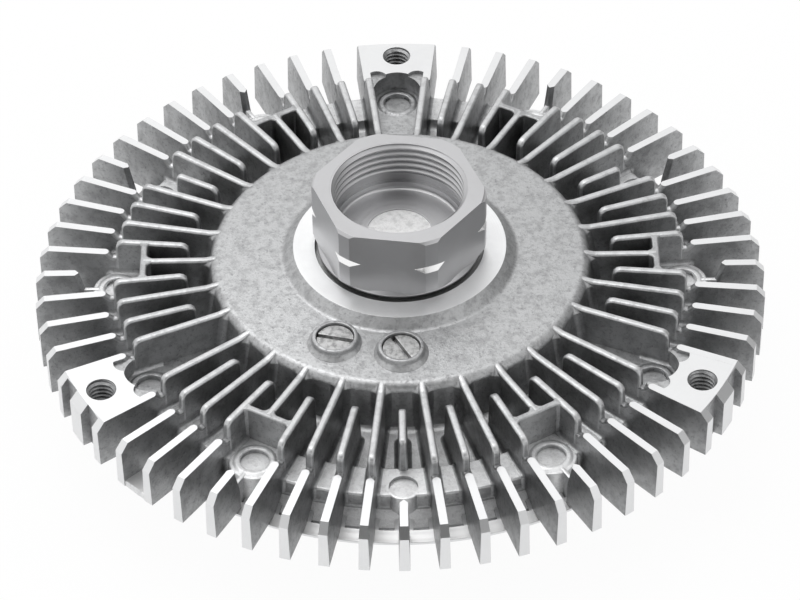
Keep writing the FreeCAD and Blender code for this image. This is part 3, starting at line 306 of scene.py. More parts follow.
def rounded(corners, steps=4):
    """Points of a closed outline through (x, z) or (x, z, radius) corners, with arcs at the radii."""
    points = []
    count = len(corners)
    for index, corner in enumerate(corners):
        here = Vector(corner[:2])
        radius = corner[2] if len(corner) > 2 else 0
        if not radius:
            points.append(tuple(here))
            continue
        back = (Vector(corners[index - 1][:2]) - here).normalized()
        ahead = (Vector(corners[(index + 1) % count][:2]) - here).normalized()
        half = back.angle(ahead) / 2
        centre = here + (back + ahead).normalized() * (radius / math.sin(half))
        start = here + back * (radius / math.tan(half)) - centre
        sweep = start.angle_signed(here + ahead * (radius / math.tan(half)) - centre)
        for step in range(steps + 1):
            points.append(tuple(centre + Matrix.Rotation(-sweep * step / steps, 2) @ start))
    return points


def polar(radius, azimuth):
    """X and Y of a point given by radius and azimuth in degrees."""
    return radius * math.cos(math.radians(azimuth)), radius * math.sin(math.radians(azimuth))


# Meshes

def new_mesh(points, faces):
    """Mesh data from points in millimetres."""
    mesh = bpy.data.meshes.new("part")
    mesh.from_pydata([tuple(c * MM for c in point) for point in points], [], faces)
    return outward(mesh)


def as_mesh(bm):
    """Mesh data from a bmesh, which is freed."""
    mesh = bpy.data.meshes.new("part")
    bm.to_mesh(mesh)
    bm.free()
    return mesh


def outward(mesh):
    """The mesh with doubles merged and its faces turned outwards."""
    bm = bmesh.new()
    bm.from_mesh(mesh)
    bmesh.ops.remove_doubles(bm, verts=bm.verts, dist=1e-7)
    bmesh.ops.recalc_face_normals(bm, faces=bm.faces)
    bm.to_mesh(mesh)
    bm.free()
    return mesh


def add_object(name, mesh):
    """Object at the origin for a finished mesh."""
    mesh.name = name
    piece = bpy.data.objects.new(name, mesh)
    bpy.context.scene.collection.objects.link(piece)
    return piece


def smooth(piece, angle=32):
    """Smooth shading with creases where faces meet at more than an angle in degrees."""
    piece.data.polygons.foreach_set("use_smooth", [True] * len(piece.data.polygons))
    piece.data.set_sharp_from_angle(angle=math.radians(angle))
    modifier = piece.modifiers.new("normals", "WEIGHTED_NORMAL")
    modifier.keep_sharp = True
    modifier.weight = 60
    return applied(piece)


def ring_faces(count, rings, closed=False):
    """Faces between neighbouring rings of points; closed joins the last ring to the first as well."""
    faces = []
    for step in range(rings if closed else rings - 1):
        here = step * count
        there = (step + 1) % rings * count
        for index in range(count):
            nxt = (index + 1) % count
            faces.append((here + index, there + index, there + nxt, here + nxt))
    return faces


def swept(rings, closed=False):
    """Mesh through rings of equally many points, joined end to end or capped at both ends."""
    count = len(rings[0])
    faces = ring_faces(count, len(rings), closed)
    if not closed:
        last = (len(rings) - 1) * count
        faces += [tuple(range(count)), tuple(last + index for index in reversed(range(count)))]
    return new_mesh([point for ring in rings for point in ring], faces)


def prism(outline, low, high):
    """Upright prism over a plan outline."""
    return swept([[(x, y, z) for x, y in outline] for z in (low, high)])


def around(outline, angle, centre=(0, 0)):
    """Points of an outline of (radius, z) at an angle round a centre."""
    x, y = centre
    return [(x + radius * math.cos(angle), y + radius * math.sin(angle), z) for radius, z in outline]


def turned(outline, segments, centre=(0, 0)):
    """Closed ring turned about Z from a closed outline of (radius, z)."""
    return swept([around(outline, 2 * math.pi * step / segments, centre) for step in range(segments)], True)


def drum(outline, segments, centre=(0, 0)):
    """Closed solid turned about Z from an outline whose first and last points lie on the axis."""
    inner = outline[1:-1]
    count = len(inner)
    points = [(*centre, outline[0][1]), (*centre, outline[-1][1])]
    faces = []
    for step in range(segments):
        points += around(inner, 2 * math.pi * step / segments, centre)
        here = 2 + step * count
        there = 2 + (step + 1) % segments * count
        faces += [(0, there, here), (1, here + count - 1, there + count - 1)]
        for index in range(count - 1):
            faces.append((here + index, there + index, there + index + 1, here + index + 1))
    return new_mesh(points, faces)


def cylinder(radius, low, high, segments=48, x=0.0, y=0.0):
    """Plain upright cylinder, for cutting."""
    return drum([(0, low), (radius, low), (radius, high), (0, high)], segments, (x, y))


def block(low, high):
    """Plain block, for cutting."""
    plan = [low[:2], (high[0], low[1]), high[:2], (low[0], high[1])]
    return prism(plan, low[2], high[2])


def fused(*meshes):
    """One mesh holding several separate closed ones."""
    bm = bmesh.new()
    for mesh in meshes:
        bm.from_mesh(mesh)
    return as_mesh(bm)


def spun(mesh, azimuth):
    """Copy of a mesh turned about Z."""
    copy = mesh.copy()
    copy.transform(Matrix.Rotation(math.radians(azimuth), 4, "Z"))
    return copy


def cut(piece, cutters, operation="DIFFERENCE"):
    """Boolean of a piece with a group of closed cutters, applied."""
    tool = add_object("cutter", fused(*cutters))
    modifier = piece.modifiers.new("cut", "BOOLEAN")
    modifier.operation = operation
    modifier.solver = "EXACT"
    modifier.object = tool
    applied(piece)
    bpy.data.objects.remove(tool)
    return piece


def applied(piece):
    """Replaces a piece's mesh with what its modifiers make of it."""
    graph = bpy.context.evaluated_depsgraph_get()
    mesh = bpy.data.meshes.new_from_object(piece.evaluated_get(graph))
    piece.modifiers.clear()
    piece.data = mesh
    return piece


def bevelled(piece, width, segments=2, angle=30):
    """Rounds a piece's sharp edges."""
    modifier = piece.modifiers.new("edges", "BEVEL")
    modifier.width = width * MM
    modifier.segments = segments
    modifier.limit_method = "ANGLE"
    modifier.angle_limit = math.radians(angle)
    modifier.use_clamp_overlap = True
    return applied(piece)


# Fins

def half_width(z):
    """Half a housing fin's thickness at a height: it thickens downwards, as the die needs."""
    return FIN_HALF_WIDTH - FIN_DRAFT * z


def blade(corners, rounding, width=half_width, up=True):
    """Fin along +X: side outline, drafted faces and a rim rounded all along but at its foot."""
    outline = rounded(corners, 3)
    bm = bmesh.new()
    bm.from_mesh(swept([[(x, side * width(z), z) for x, z in outline] for side in (-1, 1)]))
    way = 1 if up else -1
    foot = (min(way * corner[1] for corner in corners) + 0.01) * MM
    rim = []
    for edge in bm.edges:
        first, second = (vert.co for vert in edge.verts)
        if first.y * second.y > 0 and max(way * first.z, way * second.z) > foot:
            rim.append(edge)
    bm.faces.layers.int.new("machined")
    # Painted light: the rounded rim and every face that turns up are marked, and the cast finish pulls them
    # towards the tone of lit tops.
    rim_and_top_light = bm.faces.layers.float.new("rim_and_top_light")
    rounds = bmesh.ops.bevel(bm, geom=rim, offset=rounding * MM, segments=3, profile=0.5, affect="EDGES")
    for face in rounds["faces"]:
        face[rim_and_top_light] = 1.0
    bm.normal_update()
    # Painted light: faces that turn up take the same mark.
    for face in bm.faces:
        if face.normal.z > 0.5:
            face[rim_and_top_light] = 1.0
    return bm


def skimmed(bm, point, normal, machined=1):
    """Cuts a fin off at a plane and closes it with a face, machined or cast."""
    layer = bm.faces.layers.int["machined"]
    geometry = list(bm.verts) + list(bm.edges) + list(bm.faces)
    found = bmesh.ops.bisect_plane(
        bm, geom=geometry, plane_co=[c * MM for c in point], plane_no=normal, clear_outer=True)
    edges = [item for item in found["geom_cut"] if isinstance(item, bmesh.types.BMEdge)]
    filled = bmesh.ops.edgenet_fill(bm, edges=edges)
    for face in filled["faces"]:
        face[layer] = machined
    bmesh.ops.recalc_face_normals(bm, faces=bm.faces)
    return bm


def turned_end(bm):
    """Outer end of a fin after turning: flat top, chamfer and tip."""
    skimmed(bm, (0, 0, 0), (0, 0, 1))
    skimmed(bm, (CHAMFER_START, 0, 0), (CHAMFER_DROP, 0, FIN_TIP - CHAMFER_START))
    return skimmed(bm, (FIN_TIP, 0, 0), (1, 0, 0))


def outer_blade():
    """Outer end of a full fin, from the notch to the tip."""
    slope = (FLAT_START - NOTCH_END) / -NOTCH
    bm = blade([
        (TALL_END - 0.6, ROOT),
        (TALL_END - 0.6, NOTCH),
        (NOTCH_END, NOTCH, 0.5),
        (FLAT_START + slope * SKIM, SKIM),
        (FIN_TIP + 2, SKIM),
        (FIN_TIP + 2, FIN_BOTTOM),
        (FLANGE_OUTER + 1.5, FIN_BOTTOM),
    ], OUTER_ROUND)
    return fused(as_mesh(turned_end(bm)), *foot_tabs())


def foot_tabs():
    """Ends of the root fillets beside a fin, cut bright where the foot was turned."""
    outline = [
        (TAB_START, FOOT_SUNK),
        (TAB_START, -9.1),
        (64.1, FIN_BOTTOM + 0.3),
        (TAB_END, FIN_BOTTOM + SET_BACK),
        (TAB_END, FOOT_SUNK),
    ]
    meshes = []
    for side in (-1, 1):
        bm = bmesh.new()
        bm.from_mesh(swept([[(x, side * y, z) for x, z in outline] for y in (0.8, 1.85)]))
        layer = bm.faces.layers.int.new("machined")
        for face in bm.faces:
            face[layer] = int(face.normal.z > 0.5)
        meshes.append(as_mesh(bm))
    return meshes


def short_blade():
    """Outer end of a fin that starts beyond a mark."""
    lean = (SHORT_START - SHORT_FOOT) / -FLANGE * SKIM
    bm = blade([
        (SHORT_FOOT, FIN_BOTTOM),
        (SHORT_FOOT, FLANGE, 1.0),
        (SHORT_START + lean, SKIM),
        (FIN_TIP + 2, SKIM),
        (FIN_TIP + 2, FIN_BOTTOM),
    ], OUTER_ROUND)
    turned_end(bm)
    nose_line = Vector((SHORT_START - SHORT_FOOT, 0, -FLANGE))
    for side in (-1, 1):
        flank = Vector((NOSE_LENGTH, side * FIN_HALF_WIDTH, 0))
        normal = flank.cross(nose_line) * -side
        skimmed(bm, (SHORT_START, side * 0.12, 0), normal, 0)
    return fused(as_mesh(bm), *foot_tabs())


def tall_blade(inner, end, end_corner):
    """Cast inner part of a fin, from its inner end's corners to its outer end."""
    return as_mesh(blade(inner + [(end, TALL_TOP, end_corner), (end + 0.2, ROOT)], TALL_ROUND))


def root_fillet(path, width=half_width, toe=False):
    """Cast fillet round a fin at the outline under it: both sides, and the inner end if it has a toe."""
    arc = [math.radians(angle) for angle in (0, 22, 45, 68, 90)]
    start = 1.0 if toe else 0.0
    travelled = [0.0]
    for first, second in zip(path, path[1:]):
        travelled.append(travelled[-1] + (Vector(second) - Vector(first)).length)
    sides = {}
    for side in (-1, 1):
        rings = []
        for index, (x, z) in enumerate(path):
            before = Vector(path[max(index - 1, 0)])
            after = Vector(path[min(index + 1, len(path) - 1)])
            along = (after - before).normalized()
            up = Vector((-along.y, along.x))
            left = travelled[-1] - travelled[index]
            grown_in = start + travelled[index] / FILLET_RUN_IN
            radius = ROOT_FILLET * max(min(grown_in, left / FILLET_RUN_OUT, 1.0), LEAST_FILLET)
            ring = [(-0.3, -0.3)]
            ring += [(radius * (1 - math.cos(a)), radius * (1 - math.sin(a))) for a in arc]
            points = []
            for out, rise in ring:
                px = x + up.x * rise
                pz = z + up.y * rise
                points.append((px, side * (width(pz) - 0.02 + out), pz - 0.02))
            rings.append(points)
        sides[side] = rings
    if not toe:
        return [swept(sides[-1]), swept(sides[1])]
    turn = []
    centre = path[0][0]
    for step in range(1, 8):
        angle = math.radians(90 + 180 * step / 8)
        turn.append([(centre + y * math.cos(angle), y * math.sin(angle), z) for _, y, z in sides[1][0]])
    return [swept(sides[1][::-1] + turn + sides[-1])]


def wall_fillets():
    """Cast fillets in the corners between a long fin's sides and the dish's wall."""
    dish_edge = (30, DISH_RIM[1] + 0.3)
    path = [point for point in rounded([dish_edge, DISH_RIM, (DISH_FOOT[0], -7.0)], 10) if point[0] > 37.5]
    arc = [math.radians(angle) for angle in (0, 18, 36, 54, 72, 90)]
    meshes = []
    for side in (-1, 1):
        rings = []
        for x, z in path:
            radius = WALL_FILLET * min(max((DISH_RIM[1] - 0.1 - z) / 1.5, 0.03), 1.0)
            ring = [(-0.4, -0.4)] + [(radius * (1 - math.sin(a)), radius * (1 - math.cos(a))) for a in arc]
            points = []
            for out, away in ring:
                y = half_width(z) - 0.03 + away
                points.append((x - 0.03 + out - y * y / (2 * x), side * y, z - 0.02))
            rings.append(points)
        meshes.append(swept(rings))
    return meshes


# Nodes

def fed(tree, socket, value):
    """Sets a socket to a plain value, or links it to an output."""
    if isinstance(value, bpy.types.NodeSocket):
        tree.links.new(value, socket)
    else:
        socket.default_value = value


def added(tree, kind, inputs=None, **settings):
    """New node with its settings, and with its inputs set or linked."""
    node = tree.nodes.new(kind)
    for name, value in settings.items():
        setattr(node, name, value)
    for name, value in (inputs or {}).items():
        fed(tree, node.inputs[name], value)
    return node


def reckoned(tree, operation, *values):
    """Output of a math node on numbers or outputs."""
    node = added(tree, "ShaderNodeMath", dict(enumerate(values)), operation=operation)
    return node.outputs[0]


# Trees that place copies

def tree_sockets(tree, inputs):
    """Named inputs and the one geometry output of a geometry tree."""
    tree.interface.new_socket("Geometry", in_out="OUTPUT", socket_type="NodeSocketGeometry")
    for name, kind in [("Geometry", "Geometry")] + inputs:
        tree.interface.new_socket(name, in_out="INPUT", socket_type="NodeSocket" + kind)


def placed_copies(tree, start, index, selection=True):
    """Nodes from a point count to the finished copies, turned by their index."""
    given = start.outputs
    points = added(tree, "GeometryNodePoints", {"Count": given["Count"]})
    angle = reckoned(tree, "MULTIPLY_ADD", index.outputs[0], given["Step angle"], given["First angle"])
    rotation = added(tree, "ShaderNodeCombineXYZ", {"Z": reckoned(tree, "RADIANS", angle)})
    info = added(tree, "GeometryNodeObjectInfo", {"Object": given["Copied piece"]})
    copies = added(tree, "GeometryNodeInstanceOnPoints", {
        "Points": points.outputs[0],
        "Selection": selection,
        "Instance": info.outputs["Geometry"],
        "Rotation": rotation.outputs[0],
    })
    real = added(tree, "GeometryNodeRealizeInstances", {0: copies.outputs[0]})
    cast = added(tree, "GeometryNodeSetMaterial", {
        "Geometry": real.outputs[0],
        "Material": given["Cast finish"],
    })
    flag = added(tree, "GeometryNodeInputNamedAttribute", {"Name": "machined"}, data_type="INT")
    machined = added(tree, "GeometryNodeSetMaterial", {
        "Geometry": cast.outputs[0],
        "Selection": flag.outputs["Attribute"],
        "Material": given["Machined finish"],
    })
    added(tree, "NodeGroupOutput", {"Geometry": machined.outputs[0]})


RING_INPUTS = [
    ("Copied piece", "Object"),
    ("Count", "Int"),
    ("First angle", "Float"),
    ("Step angle", "Float"),
    ("Cast finish", "Material"),
    ("Machined finish", "Material"),
]
STEP_INPUTS = ["Steps from pad 1", "Steps from pad 2", "Steps from pad 3", "Steps from pad 4"]


def ring_tree():
    """Tree that sets copies of a piece evenly round the axis."""
    tree = bpy.data.node_groups.new("copies_round_the_axis", "GeometryNodeTree")
    tree_sockets(tree, RING_INPUTS)
    start = tree.nodes.new("NodeGroupInput")
    index = tree.nodes.new("GeometryNodeInputIndex")
    placed_copies(tree, start, index)
    return tree


def fin_tree():
    """Tree that sets a fin at every place that lies a given number of steps from a pad."""
    tree = bpy.data.node_groups.new("fins_counted_from_the_pads", "GeometryNodeTree")
    tree_sockets(tree, RING_INPUTS + [("Fins per pad", "Int")] + [(name, "Int") for name in STEP_INPUTS])
    start = tree.nodes.new("NodeGroupInput")
    index = tree.nodes.new("GeometryNodeInputIndex")
    per_pad = start.outputs["Fins per pad"]
    after = reckoned(tree, "MODULO", index.outputs[0], per_pad)
    nearest = reckoned(tree, "MINIMUM", after, reckoned(tree, "SUBTRACT", per_pad, after))
    chosen = 0.0
    for name in STEP_INPUTS:
        same = reckoned(tree, "COMPARE", nearest, start.outputs[name], 0.1)
        chosen = reckoned(tree, "MAXIMUM", chosen, same)
    placed_copies(tree, start, index, chosen)
    return tree


def grown(name, tree, settings):
    """Piece that a geometry tree makes, as a plain mesh."""
    piece = add_object(name, bpy.data.meshes.new(name))
    modifier = piece.modifiers.new("copies", "NODES")
    modifier.node_group = tree
    for item in tree.interface.items_tree:
        if item.item_type == "SOCKET" and item.in_out == "INPUT" and item.name in settings:
            modifier[item.identifier] = settings[item.name]
    return applied(piece)


def flagged(piece, test):
    """Marks each face of a piece with the number of its finish."""
    mesh = piece.data
    layer = mesh.attributes.get("machined") or mesh.attributes.new("machined", "INT", "FACE")
    values = [int(test(face.center / MM, face.normal)) for face in mesh.polygons]
    layer.data.foreach_set("value", values)
    return piece


def finished(piece, *finishes):
    """Gives a piece's faces the finishes that they are marked with."""
    mesh = piece.data
    mesh.materials.clear()
    for finish in finishes:
        mesh.materials.append(finish)
    values = [0] * len(mesh.polygons)
    mesh.attributes["machined"].data.foreach_get("value", values)
    mesh.polygons.foreach_set("material_index", values)
    return piece


# Housing

def housing_outline():
    """Outline of the housing without its fins, as (radius, z, rounding) corners."""
    outline = [
        (HUB_HOLE, BOSS_RECESS_FLOOR, 0.3),
        (BOSS_RECESS, BOSS_RECESS_FLOOR, 0.1),
        (BOSS_RECESS, BOSS_FACE, 0.12),
        (BOSS_RADIUS, BOSS_FACE, 0.12),
        DISH_TOP,
        DISH_RIM,
        DISH_FOOT,
        RISER_FOOT,
        *UNDER_FINS,
        (*SLOPE_END, 0.2),
        (SLOPE_END[0], FOOT_SUNK),
        (FOOT_INNER, FOOT_SUNK),
        (FOOT_INNER, FOOT_HIGH, 0.1),
        (FOOT_OUTER, FOOT_LOW, 0.12),
        (FOOT_OUTER, -11.6, 0.12),
        (61.1, LIP_LOW, 0.4),
        (LIP_INNER, LIP_LOW, 0.5),
        (LIP_INNER, COVER_EDGE_LOW),
        (COVER_EDGE, COVER_EDGE_LOW),
        (COVER_EDGE, COVER_SEAT),
        (CHAMBER, COVER_SEAT),
        (CHAMBER, CHAMBER_TOP),
    ]
    for circle in LAND_CIRCLES:
        outline += [(circle, CHAMBER_TOP), (circle, LAND_LOW)]
        outline += [(circle - LAND_WIDTH, LAND_LOW), (circle - LAND_WIDTH, CHAMBER_TOP)]
    return outline + [
        (38.2, CHAMBER_TOP),
        (37.0, 0.7, 2.0),
        (SLEEVE, 1.4, 1.0),
        (SLEEVE, SLEEVE_LOW),
        (BEARING, SLEEVE_LOW),
        (BEARING, CIRCLIP_LOW),
        (CIRCLIP_GROOVE, CIRCLIP_LOW),
        (CIRCLIP_GROOVE, BEARING_LOW),
        (BEARING, BEARING_LOW),
        (BEARING, BEARING_TOP),
        (HUB_HOLE, BEARING_TOP),
    ]


def root_path(start, end):
    """Outline under the fins from one radius to another."""
    entry = (38.0, DISH_RIM[1] + 0.04)
    line = rounded([entry, DISH_RIM, DISH_FOOT, RISER_FOOT] + UNDER_FINS + [SLOPE_END], 6)
    path = [point for point in line if start < point[0] < end]
    floor = DISH_FOOT[1]
    if start > DISH_FOOT[0] + 2:
        path.insert(0, (start, floor))
    return path


def housing_shell():
    """Turned body of the housing with its marks and plug holes."""
    piece = add_object("housing_shell", turned(rounded(housing_outline(), 4), 240))
    cutters = []
    for index in range(12):
        mark = cylinder(MARK_RADIUS, FLANGE - MARK_DEPTH, FLANGE + 1, 40, MARK_CIRCLE)
        cutters.append(spun(mark, FIRST_PAD + 30 * index))
    for azimuth, _ in PLUGS.values():
        cutters.append(cylinder(4.1, -2, 8, 40, *polar(PLUG_CIRCLE, azimuth)))
    for index in range(3):
        hole = cylinder(PAD_HOLE, FIN_BOTTOM - 1, 0, 40, PAD_HOLE_CIRCLE)
        cutters.append(spun(hole, FIRST_PAD + PAD_STEP * index))
    return cut(piece, cutters)


def within(radius, z, zone):
    """Whether a place lies in a zone of the shell."""
    return zone[0] < radius < zone[1] and zone[2] < z < zone[3]


def shell_finish(centre, normal):
    """Finish of a face of the shell: 0 cast, 1 machined, 2 boss face, 3 dish tone, which in the pad pockets
    is painted shade, 4 the dark fin tone, painted shade on the dish's wall, the flange's edge and the marks'
    walls, 5 foot.
    """
    radius = centre.xy.length
    level = normal.z > 0.9
    if radius < BOSS_RADIUS + 0.1 and level and centre.z > BOSS_FACE - 0.2:
        return 2
    if radius > FOOT_INNER - 0.1 and level and centre.z > FOOT_SUNK - 0.1:
        return 5
    if within(radius, centre.z, DISH_ZONE) and normal.z > -0.5:
        return 3
    # Painted shade: walls that face sideways take the dark fin tone, and the pad pockets the darker dish
    # tone.
    wall = within(radius, centre.z, DISH_WALL_ZONE) or within(radius, centre.z, FLANGE_EDGE_ZONE)
    mark_wall = within(radius, centre.z, MARK_WALL_ZONE) and normal.z < 0.3
    if wall and normal.z > -0.1 or mark_wall:
        return 4
    azimuth = math.degrees(math.atan2(centre.y, centre.x))
    past_pad = (azimuth - FIRST_PAD + PAD_STEP / 2) % PAD_STEP - PAD_STEP / 2
    if abs(past_pad) < PAD_ZONE_ANGLE and within(radius, centre.z, PAD_POCKET_ZONE):
        return 3
    return int(radius > FLANGE_OUTER + 0.3 and centre.z < FIN_BOTTOM - 0.1)


def pad_shape():
    """One pad along +X with its hole, pocket, dimples and end recesses."""
    outline = rounded([
        (PAD_INNER, ROOT),
        (PAD_INNER, -0.5, 0.4),
        (FLAT_START - 0.2, -0.5),
        (FLAT_START, -SET_BACK),
        (CHAMFER_START, -SET_BACK),
        (FIN_TIP - SET_BACK, -CHAMFER_DROP - SET_BACK),
        (FIN_TIP - SET_BACK, FIN_BOTTOM + SET_BACK),
        (FLANGE_OUTER + 1.5, FIN_BOTTOM + SET_BACK),
    ])
    steps = 12
    half = math.radians(PAD_HALF_ANGLE)
    angles = [half * (2 * step / steps - 1) for step in range(steps + 1)]
    piece = add_object("pad", swept([around(outline, angle) for angle in angles]))
    cutters = [
        cylinder(PAD_HOLE, FIN_BOTTOM - 1, 1, 48, PAD_HOLE_CIRCLE),
        cylinder(POCKET, FLANGE - SET_BACK, 1, 64, MARK_CIRCLE),
        cylinder(MARK_RADIUS, FLANGE - MARK_DEPTH - SET_BACK, 1, 40, MARK_CIRCLE),
    ]
    for side in (-1, 1):
        cutters.append(cylinder(DIMPLE, -DIMPLE_DEPTH, 1, 32, DIMPLE_CENTRE, side * DIMPLE_OFFSET))
        near = side * PAD_RIB / 2
        away = near + side * RECESS_WIDTH
        low = (RECESS_FLOOR, min(near, away), FIN_BOTTOM - 1)
        cutters.append(block(low, (FIN_TIP + 1, max(near, away), RECESS_TOP)))
    for cutter in cutters:
        cut(piece, [cutter])
    return bevelled(piece, 0.22, 2, 35)


def pad_machined(centre, normal):
    """Turned faces of a pad: its top, chamfer and tip."""
    top = centre.z > -0.05 and normal.z > 0.9
    radius = centre.xy.length
    outward_lean = (normal.x * centre.x + normal.y * centre.y) / radius
    chamfer = radius > CHAMFER_START and 0.3 < outward_lean and normal.z > 0.3
    tip = radius > FIN_TIP - 0.05 and outward_lean > 0.9
    return top or chamfer or tip


def plate(outline, low, high, rounding, segments=3):
    """Upright plate from a plan outline, its top edge rounded."""
    mesh = prism(outline, low, high)
    if not rounding:
        return mesh
    bm = bmesh.new()
    bm.from_mesh(mesh)
    rim = [edge for edge in bm.edges if min(vert.co.z for vert in edge.verts) > (high - 0.01) * MM]
    bmesh.ops.bevel(bm, geom=rim, offset=rounding * MM, segments=segments, profile=0.5, affect="EDGES")
    return as_mesh(bm)


def web_shape():
    """Web between the fins on both sides of a short one, flared where it meets them."""
    inner = WEB_OUTER - WEB_WIDTH
    wall = 5.0
    flare = 0.8
    side = [(WEB_OUTER, 0.7 - 0.02), (WEB_OUTER, wall - flare), (WEB_OUTER + 0.35, wall - flare / 3),
            (WEB_OUTER + flare, wall + 0.6), (inner - flare, wall + 0.4), (inner - 0.35, wall - flare / 3),
            (inner, wall - flare), (inner, 1.6), (inner - 0.3, 1.1), (inner - 1.0, 0.72), (inner - 1.2, 0.3)]
    outline = side + [(x, -y) for x, y in reversed(side)]
    return plate(outline, ROOT, TALL_TOP - SET_BACK, 0.4)


def seat_shape(radius):
    """Seat that carries a mark beyond the flange's edge, with the mark sunk in it."""
    top = FLANGE - SET_BACK
    piece = add_object("seat", drum(rounded([
        (0, top),
        (radius, top, 0.4),
        (radius + 0.25, FIN_BOTTOM + 0.2),
        (0, FIN_BOTTOM + 0.2),
    ]), 64, (MARK_CIRCLE, 0)))
    cut(piece, [cylinder(MARK_RADIUS, top - MARK_DEPTH, 1, 40, MARK_CIRCLE)])
    return cut(piece, [cylinder(59.6, FIN_BOTTOM - 2, 2, 128)])


def rim_shape():
    """Raised ring round a mark."""
    return turned(rounded([
        (MARK_RADIUS + 0.05, FLANGE - 0.3),
        (MARK_RADIUS + 0.05, FLANGE + MARK_RIM_HEIGHT, 0.22),
        (MARK_RIM - 0.5, FLANGE + MARK_RIM_HEIGHT, 0.5),
        (MARK_RIM + 0.3, FLANGE - 0.1, 0.2),
        (MARK_RIM + 0.3, FLANGE - 0.3),
    ]), 48, (MARK_CIRCLE, 0))


def low_rib_shape():
    """Low rib between a mark's seat and the short fin outside it."""
    outline = [(61.9, -0.5), (65.8, -0.55), (65.8, 0.55), (61.9, 0.5)]
    return plate(outline, FIN_BOTTOM + 0.1, FLANGE + 0.2, 0.35, 2)


def channel_shape():
    """Raised floor of the gap behind a pad, level with the flange."""
    inner = 39.6
    outer = 55.0
    tangent = math.tan(math.radians(FIN_STEP))
    outline = [(x, side * x * tangent) for side, x in ((-1, inner), (-1, outer), (1, outer), (1, inner))]
    return plate(outline, ROOT, FLANGE - SET_BACK, 0)


def boss_shape(azimuth):
    """Raised boss on the dish for a filler plug."""
    return turned(rounded([
        (3.85, 3.4),
        (3.85, PLUG_BOSS_TOP, 0.1),
        (4.6, PLUG_BOSS_TOP, 0.35),
        (4.8, 4.75, 0.7),
        (5.7, 4.05),
        (5.7, 3.5),
        (4.6, 3.0),
        (4.6, PLUG_SHANK_LOW),
        (PLUG_SHANK, PLUG_SHANK_LOW),
        (PLUG_SHANK, 3.4),
    ]), 64, polar(PLUG_CIRCLE, azimuth))


def foot_web_shape():
    """Web across the foot of one gap."""
    outline = [(70.2, -3.8), (74.8, -3.9), (74.8, 3.9), (70.2, 3.8)]
    return plate(outline, FIN_BOTTOM, FIN_BOTTOM + 1.4, 0.3, 2)


def thread_sleeve(crest, root, pitch, low, high, outer, hand, segments, mouth, centre=(0, 0)):
    """Sleeve with a helical thread inside: hand is 1 for right and -1 for left. Mouth opens its top."""
    marks = [(0.0, crest), (0.22, crest), (0.57, root), (0.65, root), (1.0, crest)]

    def radius_at(z, turn):
        phase = (z / pitch - hand * turn) % 1.0
        value = float(np.interp(phase, [mark[0] for mark in marks], [mark[1] for mark in marks]))
        return max(value, mouth - (high - z))

    first = math.floor(low / pitch) - 2
    last = math.ceil(high / pitch) + 2
    rings = []
    for step in range(segments + 1):
        turn = step / segments
        column = [(outer, low)]
        for count in range(first, last):
            for share, _ in marks[:-1]:
                z = min(max((count + share + hand * turn) * pitch, low), high)
                column.append((radius_at(z, turn), z))
        column.append((outer, high))
        rings.append(around(column, 2 * math.pi * turn, centre))
    mesh = new_mesh([point for ring in rings for point in ring], ring_faces(len(rings[0]), len(rings)))
    bm = bmesh.new()
    bm.from_mesh(mesh)
    bmesh.ops.remove_doubles(bm, verts=bm.verts, dist=2e-6)
    bmesh.ops.dissolve_degenerate(bm, edges=bm.edges, dist=1e-7)
    bmesh.ops.recalc_face_normals(bm, faces=bm.faces)
    return as_mesh(bm)


# Nut and shaft

